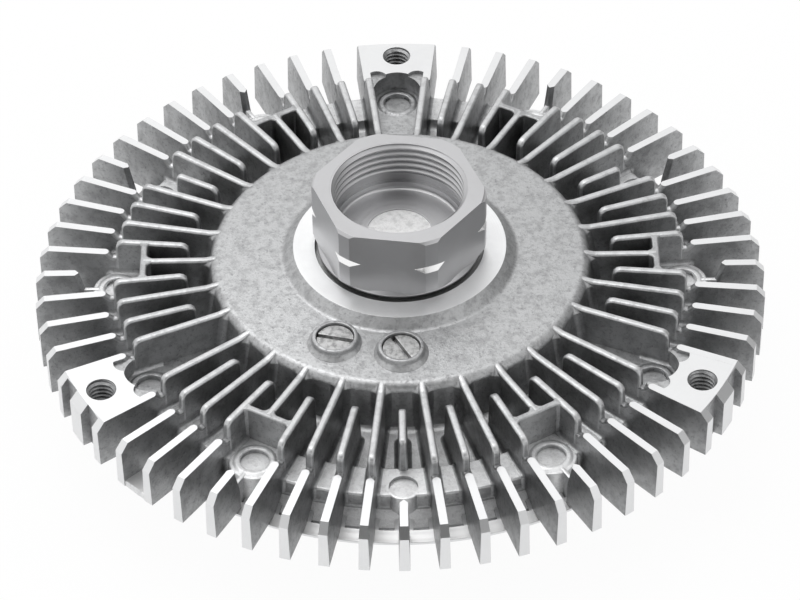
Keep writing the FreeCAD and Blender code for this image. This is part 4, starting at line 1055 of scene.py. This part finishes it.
def nut_shape():
    """Hexagon with turned corners, marking groove and stepped bore, above its stem."""
    flat = NUT_FLATS / 2 / math.cos(math.radians(30))
    plan = [polar(flat, NUT_AZIMUTH + 60 * index) for index in range(6)]
    piece = add_object("nut", prism(plan, NUT_BOTTOM, NUT_TOP))
    middle = (NUT_TOP + NUT_BOTTOM) / 2
    skin = drum([
        (0, NUT_BOTTOM - 1),
        (NUT_CHAMFER_RADIUS - 1.5, NUT_BOTTOM - 1),
        (NUT_CHAMFER_RADIUS, NUT_BOTTOM),
        (NUT_CORNER, NUT_BOTTOM + NUT_CHAMFER),
        (NUT_CORNER, middle - NUT_GROOVE),
        (NUT_CORNER - NUT_GROOVE, middle),
        (NUT_CORNER, middle + NUT_GROOVE),
        (NUT_CORNER, NUT_TOP - NUT_TOP_CHAMFER),
        (NUT_TOP_RADIUS, NUT_TOP),
        (NUT_TOP_RADIUS - 2, NUT_TOP + 1),
        (0, NUT_TOP + 1),
    ], 192)
    cut(piece, [skin], "INTERSECT")
    bore = drum(rounded([
        (0, NUT_TOP + 1),
        (RELIEF, NUT_TOP + 1),
        (RELIEF, RELIEF_LOW),
        (STEP_RADIUS, RELIEF_LOW),
        (STEP_RADIUS, BORE_FLOOR, 0.8),
        (SPOT_RADIUS, BORE_FLOOR),
        (SPOT_RADIUS, SPOT_FLOOR),
        (0, SPOT_FLOOR),
    ]), 128)
    cut(piece, [bore])
    bevelled(piece, 0.13, 2, 24)
    stem = drum(rounded([
        (0, NUT_BOTTOM + 0.5),
        (STEM_COLLAR, NUT_BOTTOM + 0.5),
        (STEM_COLLAR, BEARING_TOP, 0.1),
        (SHAFT_RADIUS, BEARING_TOP),
        (SHAFT_RADIUS, BEARING_LOW, 0.1),
        (ROTOR_SEAT, BEARING_LOW),
        (ROTOR_SEAT, SHAFT_HEAD),
        (SHAFT_HEAD_RADIUS, SHAFT_HEAD),
        (SHAFT_HEAD_RADIUS - 0.6, SHAFT_HEAD - SHAFT_HEAD_HEIGHT, 0.15),
        (0, SHAFT_HEAD - SHAFT_HEAD_HEIGHT),
    ]), 96)
    collar = drum(rounded([
        (0, NUT_BOTTOM + 0.8),
        (NUT_CHAMFER_RADIUS, NUT_BOTTOM + 0.8),
        (COLLAR_RADIUS, NUT_BOTTOM + 0.1, 0.2),
        (COLLAR_RADIUS - 0.05, COLLAR_LOW, 0.06),
        (0, COLLAR_LOW),
    ]), 128)
    thread = thread_sleeve(THREAD_CREST, THREAD_ROOT, THREAD_PITCH, THREAD_END, NUT_TOP - 0.02,
                           RELIEF + 0.3, -1, 144, THREAD_MOUTH)
    piece.data = fused(piece.data, collar, stem, thread)
    return piece


def nut_finish(centre, normal):
    """Finish of a face of the nut: 0 turned steel, 1 spot on the bore's floor, 2 groove painted near white, a
    painted highlight, 3 bore.
    """
    if abs(centre.z - SPOT_FLOOR) < 0.05 and normal.z > 0.9:
        return 1
    middle = (NUT_TOP + NUT_BOTTOM) / 2
    radius = centre.xy.length
    if abs(centre.z - middle) < NUT_GROOVE and 0.3 < abs(normal.z) < 0.95 and radius > RELIEF + 1:
        return 2
    return 3 if radius < RELIEF and BORE_FLOOR - 0.1 < centre.z < THREAD_END else 0


# Cover

def cover_outline():
    """Outline of the front cover without its fins."""
    outline = [
        (CHAMBER, COVER_SEAT),
        (CORD_INNER, COVER_SEAT),
        (CORD_INNER, CORD_FLOOR),
        (CORD_OUTER, CORD_FLOOR),
        (CORD_OUTER, COVER_SEAT),
        (COVER_EDGE, COVER_SEAT),
        (COVER_EDGE, COVER_EDGE_LOW),
        (58.9, COVER_EDGE_LOW),
        (58.5, COVER_FRONT, 1.5),
        (40.2, COVER_FRONT, 2.0),
        (DOME, DOME_FRONT, 1.0),
        (PIN_BOSS, DOME_FRONT, 0.8),
        (PIN_BOSS - 0.4, PIN_BOSS_LOW, 0.4),
        (PIN_BORE, PIN_BOSS_LOW),
        (PIN_BORE, PIN_GROOVE_LOW),
        (PIN_GROOVE, PIN_GROOVE_LOW),
        (PIN_GROOVE, PIN_GROOVE_TOP),
        (PIN_BORE, PIN_GROOVE_TOP),
        (PIN_BORE, RESERVOIR_LOW),
        (RESERVOIR, RESERVOIR_LOW, 1.0),
        (RESERVOIR, COVER_BACK),
    ]
    for circle in reversed(LAND_CIRCLES[:4]):
        outline += [(circle - LAND_WIDTH, COVER_BACK), (circle - LAND_WIDTH, COVER_LAND_TOP)]
        outline += [(circle, COVER_LAND_TOP), (circle, COVER_BACK)]
    return outline + [(CHAMBER, COVER_BACK)]


def cover_blade():
    """One radial fin of the cover."""
    return as_mesh(blade([
        (COVER_FIN_INNER, COVER_FIN_FOOT),
        (CHAMBER, COVER_FIN_FOOT),
        (CHAMBER, -21.2, 0.4),
        (47.0, COVER_FIN_LOW, 1.5),
        (COVER_FIN_INNER + 1.2, COVER_FIN_LOW, 1.5),
    ], 0.5, lambda z: COVER_FIN_HALF, up=False))


def cover_fillets():
    """Cast fillets along a cover fin's root, which faces down."""
    upper = [(x, -z) for x, z in COVER_PATH + [(x, COVER_FRONT) for x in (42.0, 47.0, 52.0, 56.6)]]
    mirror = Matrix.Scale(-1, 4, (0, 0, 1))
    meshes = []
    for mesh in root_fillet(upper, lambda z: COVER_FIN_HALF):
        mesh.transform(mirror)
        meshes.append(outward(mesh))
    return meshes


# Bimetal strip

def strip_half(name, side):
    """Half of the strip along X, from its clip to the middle."""
    steps = 24
    half = STRIP_LENGTH / 2
    straight = half - STRIP_CORNER
    xs = [half * step / steps for step in range(steps)]
    xs += [straight + STRIP_CORNER * math.sin(math.radians(15 * step)) for step in range(7)]
    low, high = (STRIP_LOW, STRIP_HIGH)
    edge = STRIP_EDGE
    rings = []
    for x in sorted(set(round(x, 6) for x in xs)):
        into = max(x - straight, 0)
        reach = STRIP_WIDTH / 2 - STRIP_CORNER + math.sqrt(max(STRIP_CORNER ** 2 - into ** 2, 0))
        right = [(reach - edge, low), (reach, low + edge), (reach, high - edge), (reach - edge, high)]
        section = right + [(-y, z) for y, z in reversed(right)]
        rings.append([(side * x, y, z) for y, z in section])
    return add_object(name, swept(rings))


# Filler plugs

def plug_shape(azimuth, slot_angle):
    """Slotted plug head with its shank."""
    x, y = polar(PLUG_CIRCLE, azimuth)
    piece = add_object("plug", drum(rounded([
        (0, PLUG_HEAD_TOP),
        (PLUG_HEAD, PLUG_HEAD_TOP),
        (PLUG_HEAD, PLUG_HEAD_LOW),
        (PLUG_SHANK, PLUG_HEAD_LOW),
        (PLUG_SHANK, PLUG_SHANK_LOW, 0.2),
        (0, PLUG_SHANK_LOW),
    ]), 64, (x, y)))
    slot = block((-5, -PLUG_SLOT / 2, PLUG_HEAD_TOP - PLUG_SLOT_DEPTH), (5, PLUG_SLOT / 2, 7))
    slot = spun(slot, slot_angle)
    slot.transform(Matrix.Translation((x * MM, y * MM, 0)))
    cut(piece, [slot])
    return bevelled(piece, 0.14, 2, 30)


# Finishes

def shader_group(name, inputs, outputs):
    """Empty shader group with its sockets: returns the tree, its start and its end."""
    tree = bpy.data.node_groups.new(name, "ShaderNodeTree")
    for label, value in inputs:
        socket = tree.interface.new_socket(label, in_out="INPUT", socket_type="NodeSocketFloat")
        socket.default_value = value
    for label, kind in outputs:
        tree.interface.new_socket(label, in_out="OUTPUT", socket_type="NodeSocket" + kind)
    return tree, tree.nodes.new("NodeGroupInput"), tree.nodes.new("NodeGroupOutput")


def noise_node(tree, scale, detail, roughness):
    """Noise on object coordinates."""
    place = tree.nodes.new("ShaderNodeTexCoord")
    noise = added(tree, "ShaderNodeTexNoise", {
        "Vector": place.outputs["Object"],
        "Scale": scale,
        "Detail": detail,
        "Roughness": roughness,
    })
    return noise.outputs["Fac"]


def spread(tree, value, low, high, out_low=0.0, out_high=1.0):
    """Value remapped from one span to another, smoothly and clamped."""
    node = added(tree, "ShaderNodeMapRange", {
        "Value": value,
        "From Min": low,
        "From Max": high,
        "To Min": out_low,
        "To Max": out_high,
    }, interpolation_type="SMOOTHSTEP")
    return node.outputs["Result"]


def bumped(tree, height, strength, distance):
    """Normal that a height gives; the distance is in metres."""
    node = added(tree, "ShaderNodeBump", {"Height": height, "Strength": strength, "Distance": distance})
    return node.outputs["Normal"]


def skin_group():
    """Grain and stains of a metal skin."""
    tree, start, end = shader_group(
        "metal_skin",
        [("Grain scale", 2200.0), ("Stain scale", 160.0), ("Bump", 0.2)],
        [("Stain", "Float"), ("Speckle", "Float"), ("Normal", "Vector")],
    )
    fine = noise_node(tree, start.outputs["Grain scale"], 4.0, 0.7)
    broad = noise_node(tree, start.outputs["Stain scale"], 6.0, 0.65)
    fed(tree, end.inputs["Stain"], spread(tree, broad, 0.42, 0.66))
    fed(tree, end.inputs["Speckle"], spread(tree, fine, 0.5, 0.72))
    fed(tree, end.inputs["Normal"], bumped(tree, fine, start.outputs["Bump"], GRAIN_HEIGHT))
    return tree


def lines_group():
    """Fine rings that a lathe leaves round the axis, a little uneven."""
    tree, start, end = shader_group(
        "turning_lines",
        [("Lines per metre", 4000.0), ("Depth", 0.2)],
        [("Lines", "Float"), ("Normal", "Vector")],
    )
    place = tree.nodes.new("ShaderNodeTexCoord")
    parts = added(tree, "ShaderNodeSeparateXYZ", {0: place.outputs["Object"]}).outputs
    flat = added(tree, "ShaderNodeCombineXYZ", {"X": parts["X"], "Y": parts["Y"]})
    radius = added(tree, "ShaderNodeVectorMath", {0: flat.outputs[0]}, operation="LENGTH")
    along = reckoned(tree, "ADD", radius.outputs["Value"], parts["Z"])
    noise = added(tree, "ShaderNodeTexNoise", noise_dimensions="1D")
    fed(tree, noise.inputs["W"], reckoned(tree, "MULTIPLY", along, start.outputs["Lines per metre"]))
    fed(tree, noise.inputs["Scale"], 1.0)
    fed(tree, noise.inputs["Detail"], 3.0)
    fed(tree, end.inputs["Lines"], noise.outputs["Fac"])
    fed(tree, end.inputs["Normal"], bumped(tree, noise.outputs["Fac"], start.outputs["Depth"], LINE_HEIGHT))
    return tree


def painted_shade_group():
    """Painted shade: how deep a point lies in a corner or gap, 1 is deep, as a mask that darkens the colour
    there.
    """
    tree, start, end = shader_group("painted_corner_shade", [("Reach", 0.006)], [("Mask", "Float")])
    hidden = added(tree, "ShaderNodeAmbientOcclusion", {"Distance": start.outputs["Reach"]}, samples=6)
    fed(tree, end.inputs["Mask"], spread(tree, hidden.outputs["AO"], 0.5, 0.05))
    return tree


SKIN = skin_group()
LINES = lines_group()
PAINTED_SHADE = painted_shade_group()


def placed_group(tree, group, inputs):
    """Outputs of a group placed in a material with its own numbers."""
    return added(tree, "ShaderNodeGroup", inputs, node_tree=group).outputs


def tinted(tree, factor, first, second):
    """Colour that goes from first to second with a factor; either may be an output."""
    ends = [(*colour, 1.0) if isinstance(colour, tuple) else colour for colour in (first, second)]
    node = added(tree, "ShaderNodeMix", data_type="RGBA")
    fed(tree, node.inputs["Factor"], factor)
    fed(tree, node.inputs["A"], ends[0])
    fed(tree, node.inputs["B"], ends[1])
    return node.outputs["Result"]


def new_finish(name, metallic):
    """New material, its tree and the inputs of its shader."""
    material = bpy.data.materials.new(name)
    material.use_nodes = True
    inputs = material.node_tree.nodes["Principled BSDF"].inputs
    inputs["Metallic"].default_value = metallic
    return material, material.node_tree, inputs


def cast_finish(name, colour, dark, shade_colour, metallic=1.0, stain_scale=420.0):
    """As-cast metal: mottled and speckled, with painted shade that darkens its corners and gaps, and a tone
    for rounded rims and faces that turn up, which on the dark fins is painted light.
    """
    material, tree, shader = new_finish(name, metallic)
    skin = placed_group(tree, SKIN, {"Grain scale": 1500.0, "Stain scale": stain_scale, "Bump": 0.4})
    # Painted shade: the corner mask darkens the colour in corners and gaps.
    corner = placed_group(tree, PAINTED_SHADE, {"Reach": 0.005})
    # Painted light: rims and upward faces marked on the blades take the tone of lit tops.
    edge = added(tree, "ShaderNodeAttribute", attribute_name="rim_and_top_light")
    stained = tinted(tree, reckoned(tree, "MULTIPLY", skin["Stain"], STAIN_SHARE), colour, dark)
    speckled = tinted(tree, reckoned(tree, "MULTIPLY", skin["Speckle"], SPECKLE_SHARE), stained, dark)
    shaded = tinted(tree, corner["Mask"], speckled, shade_colour)
    rim_and_top_share = reckoned(tree, "MULTIPLY", edge.outputs["Fac"], spread(tree, skin["Stain"], 0, 1, 0.9, 0.55))
    fed(tree, shader["Base Color"], tinted(tree, rim_and_top_share, shaded, RIM_AND_TOP_LIGHT))
    fed(tree, shader["Roughness"], spread(tree, skin["Speckle"], 0, 1, 0.42, 0.62))
    fed(tree, shader["Normal"], skin["Normal"])
    return material


def turned_finish(name, colour, dark, rough, lines=4000.0, depth=0.15, stain=0.15, metallic=1.0):
    """Machined metal with fine rings and faint stains."""
    material, tree, shader = new_finish(name, metallic)
    skin = placed_group(tree, SKIN, {"Grain scale": 3500.0, "Stain scale": 120.0, "Bump": 0.02})
    rings = placed_group(tree, LINES, {"Lines per metre": lines, "Depth": depth})
    patches = reckoned(tree, "MULTIPLY", skin["Stain"], stain)
    fed(tree, shader["Base Color"], tinted(tree, patches, colour, dark))
    fed(tree, shader["Roughness"], spread(tree, rings["Lines"], 0.3, 0.7, rough - 0.04, rough + 0.05))
    fed(tree, shader["Normal"], rings["Normal"])
    return material


def plain_finish(name, colour, dark, rough, metallic=1.0, bump=0.1, stain_scale=140.0):
    """Sheet metal, rubber or plastic with a fine grain and faint stains."""
    material, tree, shader = new_finish(name, metallic)
    skin = placed_group(tree, SKIN, {"Grain scale": 3000.0, "Stain scale": stain_scale, "Bump": bump})
    fed(tree, shader["Base Color"], tinted(tree, skin["Stain"], colour, dark))
    fed(tree, shader["Roughness"], spread(tree, skin["Speckle"], 0, 1, rough, rough + 0.08))
    fed(tree, shader["Normal"], skin["Normal"])
    return material


# One cast aluminium in three tones set by where the faces lie: the dark fin tone paints shade on the fins and
# on walls that face sideways, the dish tone paints shade in the pad pockets, and the last colour of each is
# the painted shade of the corner mask.
CAST = cast_finish("cast_aluminium", (0.84, 0.845, 0.85), (0.56, 0.56, 0.565), (0.22, 0.22, 0.22), 0.75)
DISH = cast_finish("cast_dish", (0.49, 0.495, 0.50), (0.25, 0.25, 0.255), (0.10, 0.10, 0.10), 1.0, 620.0)
SHADED_CAST = cast_finish("cast_fins_shaded", (0.46, 0.465, 0.47), (0.24, 0.24, 0.245), (0.06, 0.06, 0.06))
MILLED = turned_finish("machined_aluminium", (0.80, 0.805, 0.81), (0.66, 0.66, 0.67), 0.33)
BOSS = turned_finish("boss_face", (0.88, 0.885, 0.89), (0.72, 0.72, 0.73), 0.4, 2500.0, 0.3, 0.25, 0.7)
FOOT = turned_finish("turned_foot", (0.74, 0.74, 0.74), (0.64, 0.64, 0.64), 0.45, 2500.0, 0.05, 0.3, 0.8)
BORE = turned_finish("turned_bore", (0.68, 0.68, 0.69), (0.54, 0.54, 0.54), 0.38, 3000.0, 0.1)
NUT = turned_finish("turned_steel", (0.54, 0.54, 0.55), (0.42, 0.415, 0.41), 0.33, 3000.0, 0.1)
SPOT = plain_finish("bore_floor_skin", (0.95, 0.95, 0.95), (0.74, 0.74, 0.74), 0.5, 0.8, 0.4, 700.0)
# Painted highlight: the groove is painted near white where it catches the light.
GROOVE_HIGHLIGHT = turned_finish("groove_highlight", (0.95, 0.95, 0.95), (0.85, 0.85, 0.85), 0.24)
PLUG = plain_finish("plug_steel", (0.58, 0.58, 0.58), (0.30, 0.30, 0.30), 0.45, 1.0, 0.4, 900.0)
FINISHES = {
    "cast_aluminium": CAST,
    "turned_steel": NUT,
    "plug_steel": PLUG,
    "rotor_aluminium": turned_finish("rotor_aluminium", (0.72, 0.73, 0.74), (0.55, 0.55, 0.56), 0.4),
    "rivet_aluminium": plain_finish("rivet_aluminium", (0.75, 0.75, 0.76), (0.6, 0.6, 0.6), 0.4),
    "washer_aluminium": plain_finish("washer_aluminium", (0.78, 0.78, 0.79), (0.6, 0.6, 0.6), 0.42),
    "bearing_steel": turned_finish("bearing_steel", (0.62, 0.62, 0.64), (0.5, 0.5, 0.5), 0.2, 6000.0, 0.05),
    "spring_steel": plain_finish("spring_steel", (0.25, 0.25, 0.27), (0.16, 0.16, 0.18), 0.35),
    "sheet_steel": plain_finish("sheet_steel", (0.62, 0.62, 0.60), (0.48, 0.47, 0.44), 0.36),
    "bimetal": plain_finish("bimetal", (0.62, 0.57, 0.49), (0.48, 0.42, 0.36), 0.35),
    "seal_rubber": plain_finish("seal_rubber", (0.03, 0.03, 0.03), (0.05, 0.05, 0.05), 0.7, 0.0, 0.3),
    "cage_plastic": plain_finish("cage_plastic", (0.45, 0.36, 0.22), (0.36, 0.28, 0.16), 0.5, 0.0),
}


# Assembly

RING = ring_tree()
FINS = fin_tree()


def stands_for(piece, node, body, angle=32):
    """Hands a finished piece to the frame."""
    smooth(piece, angle)
    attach(piece, body)
    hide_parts(node)
    return piece


def copied(name, shape, tree, count, first, step, cast, more=None):
    """Housing or cover detail made as one piece from copies of a shape."""
    seed = shape if isinstance(shape, bpy.types.Object) else add_object(name + "_shape", shape)
    settings = {
        "Copied piece": seed,
        "Count": count,
        "First angle": first,
        "Step angle": step,
        "Cast finish": cast,
        "Machined finish": MILLED,
    }
    settings.update(more or {})
    piece = grown(name, tree, settings)
    bpy.data.objects.remove(seed)
    return piece


def fin_set(name, shape, places, cast=CAST):
    """Copies of a shape at the given steps from each pad."""
    unused = [-1] * (len(STEP_INPUTS) - len(places))
    more = {"Fins per pad": PER_PAD, **dict(zip(STEP_INPUTS, [*places, *unused]))}
    piece = copied(name, shape, FINS, FIN_COUNT, FIRST_PAD, FIN_STEP, cast, more)
    return stands_for(piece, "housing", "housing_body")


def with_fillets(mesh, path, toe=False):
    """Fin together with the cast fillets at its root."""
    return fused(mesh, *root_fillet(path, half_width, toe))


def build_housing():
    """Every piece that stands for the housing."""
    shell = housing_shell()
    bosses = [boss_shape(azimuth) for azimuth, _ in PLUGS.values()]
    shell.data = fused(shell.data, spun(foot_web_shape(), FOOT_WEB_AZIMUTH), *bosses)
    finished(flagged(shell, shell_finish), CAST, MILLED, BOSS, DISH, SHADED_CAST, FOOT)
    stands_for(shell, "housing", "housing_body", 28)
    toe = TALL_START + FIN_HALF_WIDTH
    from_dish = [(39.9, ROOT), (38.6, 0.5), (37.5, 3.0), (37.5, 3.8), (40.2, TALL_TOP, 1.0)]
    free_end = [(TALL_START, ROOT), (TALL_START, TALL_TOP, FREE_CORNER)]
    full = tall_blade(from_dish, TALL_END, TALL_CORNER)
    long_fin = fused(with_fillets(full, root_path(38, ROOT_END)), *wall_fillets())
    fin_set("long_fins", long_fin, (1, 3, 7, 9), SHADED_CAST)
    half = tall_blade(free_end, TALL_END, TALL_CORNER)
    fin_set("half_fins", with_fillets(half, root_path(toe, ROOT_END), True), (2, 4, 6, 8), SHADED_CAST)
    bridge = tall_blade(from_dish, WEB_OUTER - WEB_WIDTH / 2, 0)
    bridge_fin = fused(with_fillets(bridge, root_path(38, 52.3)), *wall_fillets())
    fin_set("bridge_fins", bridge_fin, (5,), SHADED_CAST)
    stub = tall_blade(free_end, STUB_END, 0.9)
    fin_set("stub_fins", with_fillets(stub, root_path(toe, STUB_END), True), (10,), SHADED_CAST)
    fin_set("outer_fins_near_pads", outer_blade(), (1, 2, 3, 4), SHADED_CAST)
    fin_set("outer_fins_between_pads", outer_blade(), (6, 7, 8, 9), SHADED_CAST)
    fin_set("short_outer_fins", short_blade(), (5, 10), SHADED_CAST)
    fin_set("wide_seats", seat_shape(WIDE_SEAT_RADIUS), (5,))
    fin_set("round_seats", seat_shape(SEAT_RADIUS), (10,))
    fin_set("mark_rims", rim_shape(), (5,))
    # Painted shade: the pieces at the pads take the darker dish tone.
    fin_set("pocket_rims", rim_shape(), (0,), DISH)
    fin_set("low_ribs", low_rib_shape(), (5,))
    fin_set("gap_webs", web_shape(), (5,), SHADED_CAST)
    fin_set("pad_channels", channel_shape(), (0,), DISH)
    pads = flagged(pad_shape(), pad_machined)
    fin_set("fan_pads", pads, (0,), DISH)
    thread = thread_sleeve(PAD_THREAD_CREST, PAD_THREAD_ROOT, PAD_THREAD_PITCH, FIN_BOTTOM + 0.05,
                           -0.02, PAD_HOLE + 0.03, 1, 48, PAD_MOUTH, (PAD_HOLE_CIRCLE, 0))
    fin_set("pad_threads", thread, (0,), SHADED_CAST)


def build_cover():
    """Cover body with its pads, and its fins."""
    body = add_object("cover_body", turned(rounded(cover_outline(), 4), 192))
    half, reach = CLIP_PAD_HALF
    clips = [
        block((x - half, -reach, CLIP_PAD_LOW), (x + half, reach, CLIP_PAD_ROOT))
        for x in (-CLIP_PAD_X, CLIP_PAD_X)
    ]
    holder = bevelled(add_object("clip_pads", fused(*clips)), 0.3, 2)
    body.data = fused(body.data, holder.data)
    bpy.data.objects.remove(holder)
    body.data.materials.append(CAST)
    stands_for(body, "front_cover", "housing_body")
    shape = fused(cover_blade(), *cover_fillets())
    fins = copied("cover_fins", shape, RING, COVER_FINS, 180.0 / COVER_FINS, 360.0 / COVER_FINS, CAST)
    stands_for(fins, "front_cover", "housing_body")


def build_shaft():
    """Nut, thread and stem, with a bright spot on the bore's floor and a groove painted bright as a
    highlight.
    """
    nut = finished(flagged(nut_shape(), nut_finish), NUT, SPOT, GROOVE_HIGHLIGHT, BORE)
    stands_for(nut, "drive_shaft", "drive", 25)


def build_strip():
    """Bimetal strip in two flat halves, one each side of the middle."""
    for name, side in (("strip_right_half", 1), ("strip_left_half", -1)):
        half = strip_half(name, side)
        half.data.materials.append(FINISHES["bimetal"])
        smooth(half)
        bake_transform(half)
        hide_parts("bimetal_strip")


def build_plugs():
    """Filler plugs in their bosses."""
    for number, (azimuth, slot_angle) in PLUGS.items():
        plug = plug_shape(azimuth, slot_angle)
        plug.name = "slotted_plug_" + number
        plug.data.materials.append(PLUG)
        stands_for(plug, "filler_plug_" + number, "housing_body")


def finish_nodes():
    """Gives every CAD node the finish of its material slot."""
    for part in frame["record"]["subparts"]:
        node = frame["nodes"][part["node"]]
        node.data.materials.clear()
        node.data.materials.append(FINISHES[part["material_slot"]])


finish_nodes()
build_housing()
build_cover()
build_shaft()
build_strip()
build_plugs()


# Ground, light and camera

def camera_side():
    """Direction from the part towards the camera."""
    elevation = math.radians(CAMERA_ELEVATION)
    return Vector((0, -math.cos(elevation), math.sin(elevation)))


def set_ground():
    """Pale floor under the part."""
    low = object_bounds()[0][2]
    reach = 2.5
    mesh = bpy.data.meshes.new("floor")
    mesh.from_pydata([(-reach, -reach, low), (reach, -reach, low), (reach, reach, low), (-reach, reach, low)],
                     [], [(0, 1, 2, 3)])
    floor = add_object("floor", mesh)
    material, tree, shader = new_finish("floor", 0.0)
    fed(tree, shader["Base Color"], (0.95, 0.95, 0.95, 1))
    fed(tree, shader["Roughness"], 0.9)
    fed(tree, shader["Specular IOR Level"], 0.1)
    glow = added(tree, "ShaderNodeEmission", {"Strength": 1.0})
    rays = added(tree, "ShaderNodeLightPath").outputs
    mirrored = reckoned(tree, "ADD", rays["Is Glossy Ray"], rays["Is Transmission Ray"])
    seen = reckoned(tree, "MULTIPLY", rays["Is Camera Ray"], FLOOR_SEEN)
    share = reckoned(tree, "MULTIPLY_ADD", mirrored, FLOOR_MIRRORED, seen)
    lit = tree.nodes["Principled BSDF"].outputs[0]
    mixed = added(tree, "ShaderNodeMixShader", {0: share, 1: lit, 2: glow.outputs[0]})
    fed(tree, tree.nodes["Material Output"].inputs["Surface"], mixed.outputs[0])
    mesh.materials.append(material)


def shade(tree, place, towards, start, end, level):
    """Brightness of the surroundings: one, and a lower level round a direction."""
    along = added(tree, "ShaderNodeVectorMath", {
        0: place.outputs["Generated"],
        1: Vector(towards).normalized(),
    }, operation="DOT_PRODUCT")
    near = math.cos(math.radians(start))
    far = math.cos(math.radians(end))
    return spread(tree, along.outputs["Value"], far, near, 1.0, level)


def set_world():
    """White surroundings, dark behind the camera and greyer at the right."""
    world = bpy.data.worlds.new("studio")
    world.use_nodes = True
    bpy.context.scene.world = world
    tree = world.node_tree
    place = tree.nodes.new("ShaderNodeTexCoord")
    behind = shade(tree, place, camera_side(), DARK_START, DARK_END, CAMERA_DARK)
    beside = shade(tree, place, SIDE_TOWARDS, SIDE_START, SIDE_END, SIDE_DARK)
    background = tree.nodes["Background"]
    fed(tree, background.inputs["Color"], reckoned(tree, "MULTIPLY", behind, beside))
    fed(tree, background.inputs["Strength"], 1.0)


def set_lamp():
    """Soft square lamp overhead that looks at the part."""
    data = bpy.data.lights.new("overhead", "AREA")
    data.shape = "SQUARE"
    data.size = LAMP_SIZE
    data.energy = LAMP_POWER
    lamp = bpy.data.objects.new("overhead", data)
    lamp.location = LAMP_PLACE
    lamp.rotation_mode = "QUATERNION"
    lamp.rotation_quaternion = Vector(LAMP_PLACE).to_track_quat("Z", "Y")
    bpy.context.scene.collection.objects.link(lamp)


def set_camera():
    """Camera as fitted to the photo."""
    data = bpy.data.cameras.new("camera")
    data.lens = CAMERA_LENS
    data.sensor_width = CAMERA_SENSOR
    camera = bpy.data.objects.new("camera", data)
    back = camera_side()
    camera.location = Vector(CAMERA_TARGET) + back * CAMERA_DISTANCE
    camera.rotation_mode = "QUATERNION"
    camera.rotation_quaternion = (-back).to_track_quat("-Z", "Y") @ Quaternion((0, 0, 1), CAMERA_ROLL)
    bpy.context.scene.collection.objects.link(camera)
    bpy.context.scene.camera = camera


set_ground()
set_world()
set_lamp()
set_camera()
bpy.context.scene.view_settings.view_transform = "Standard"
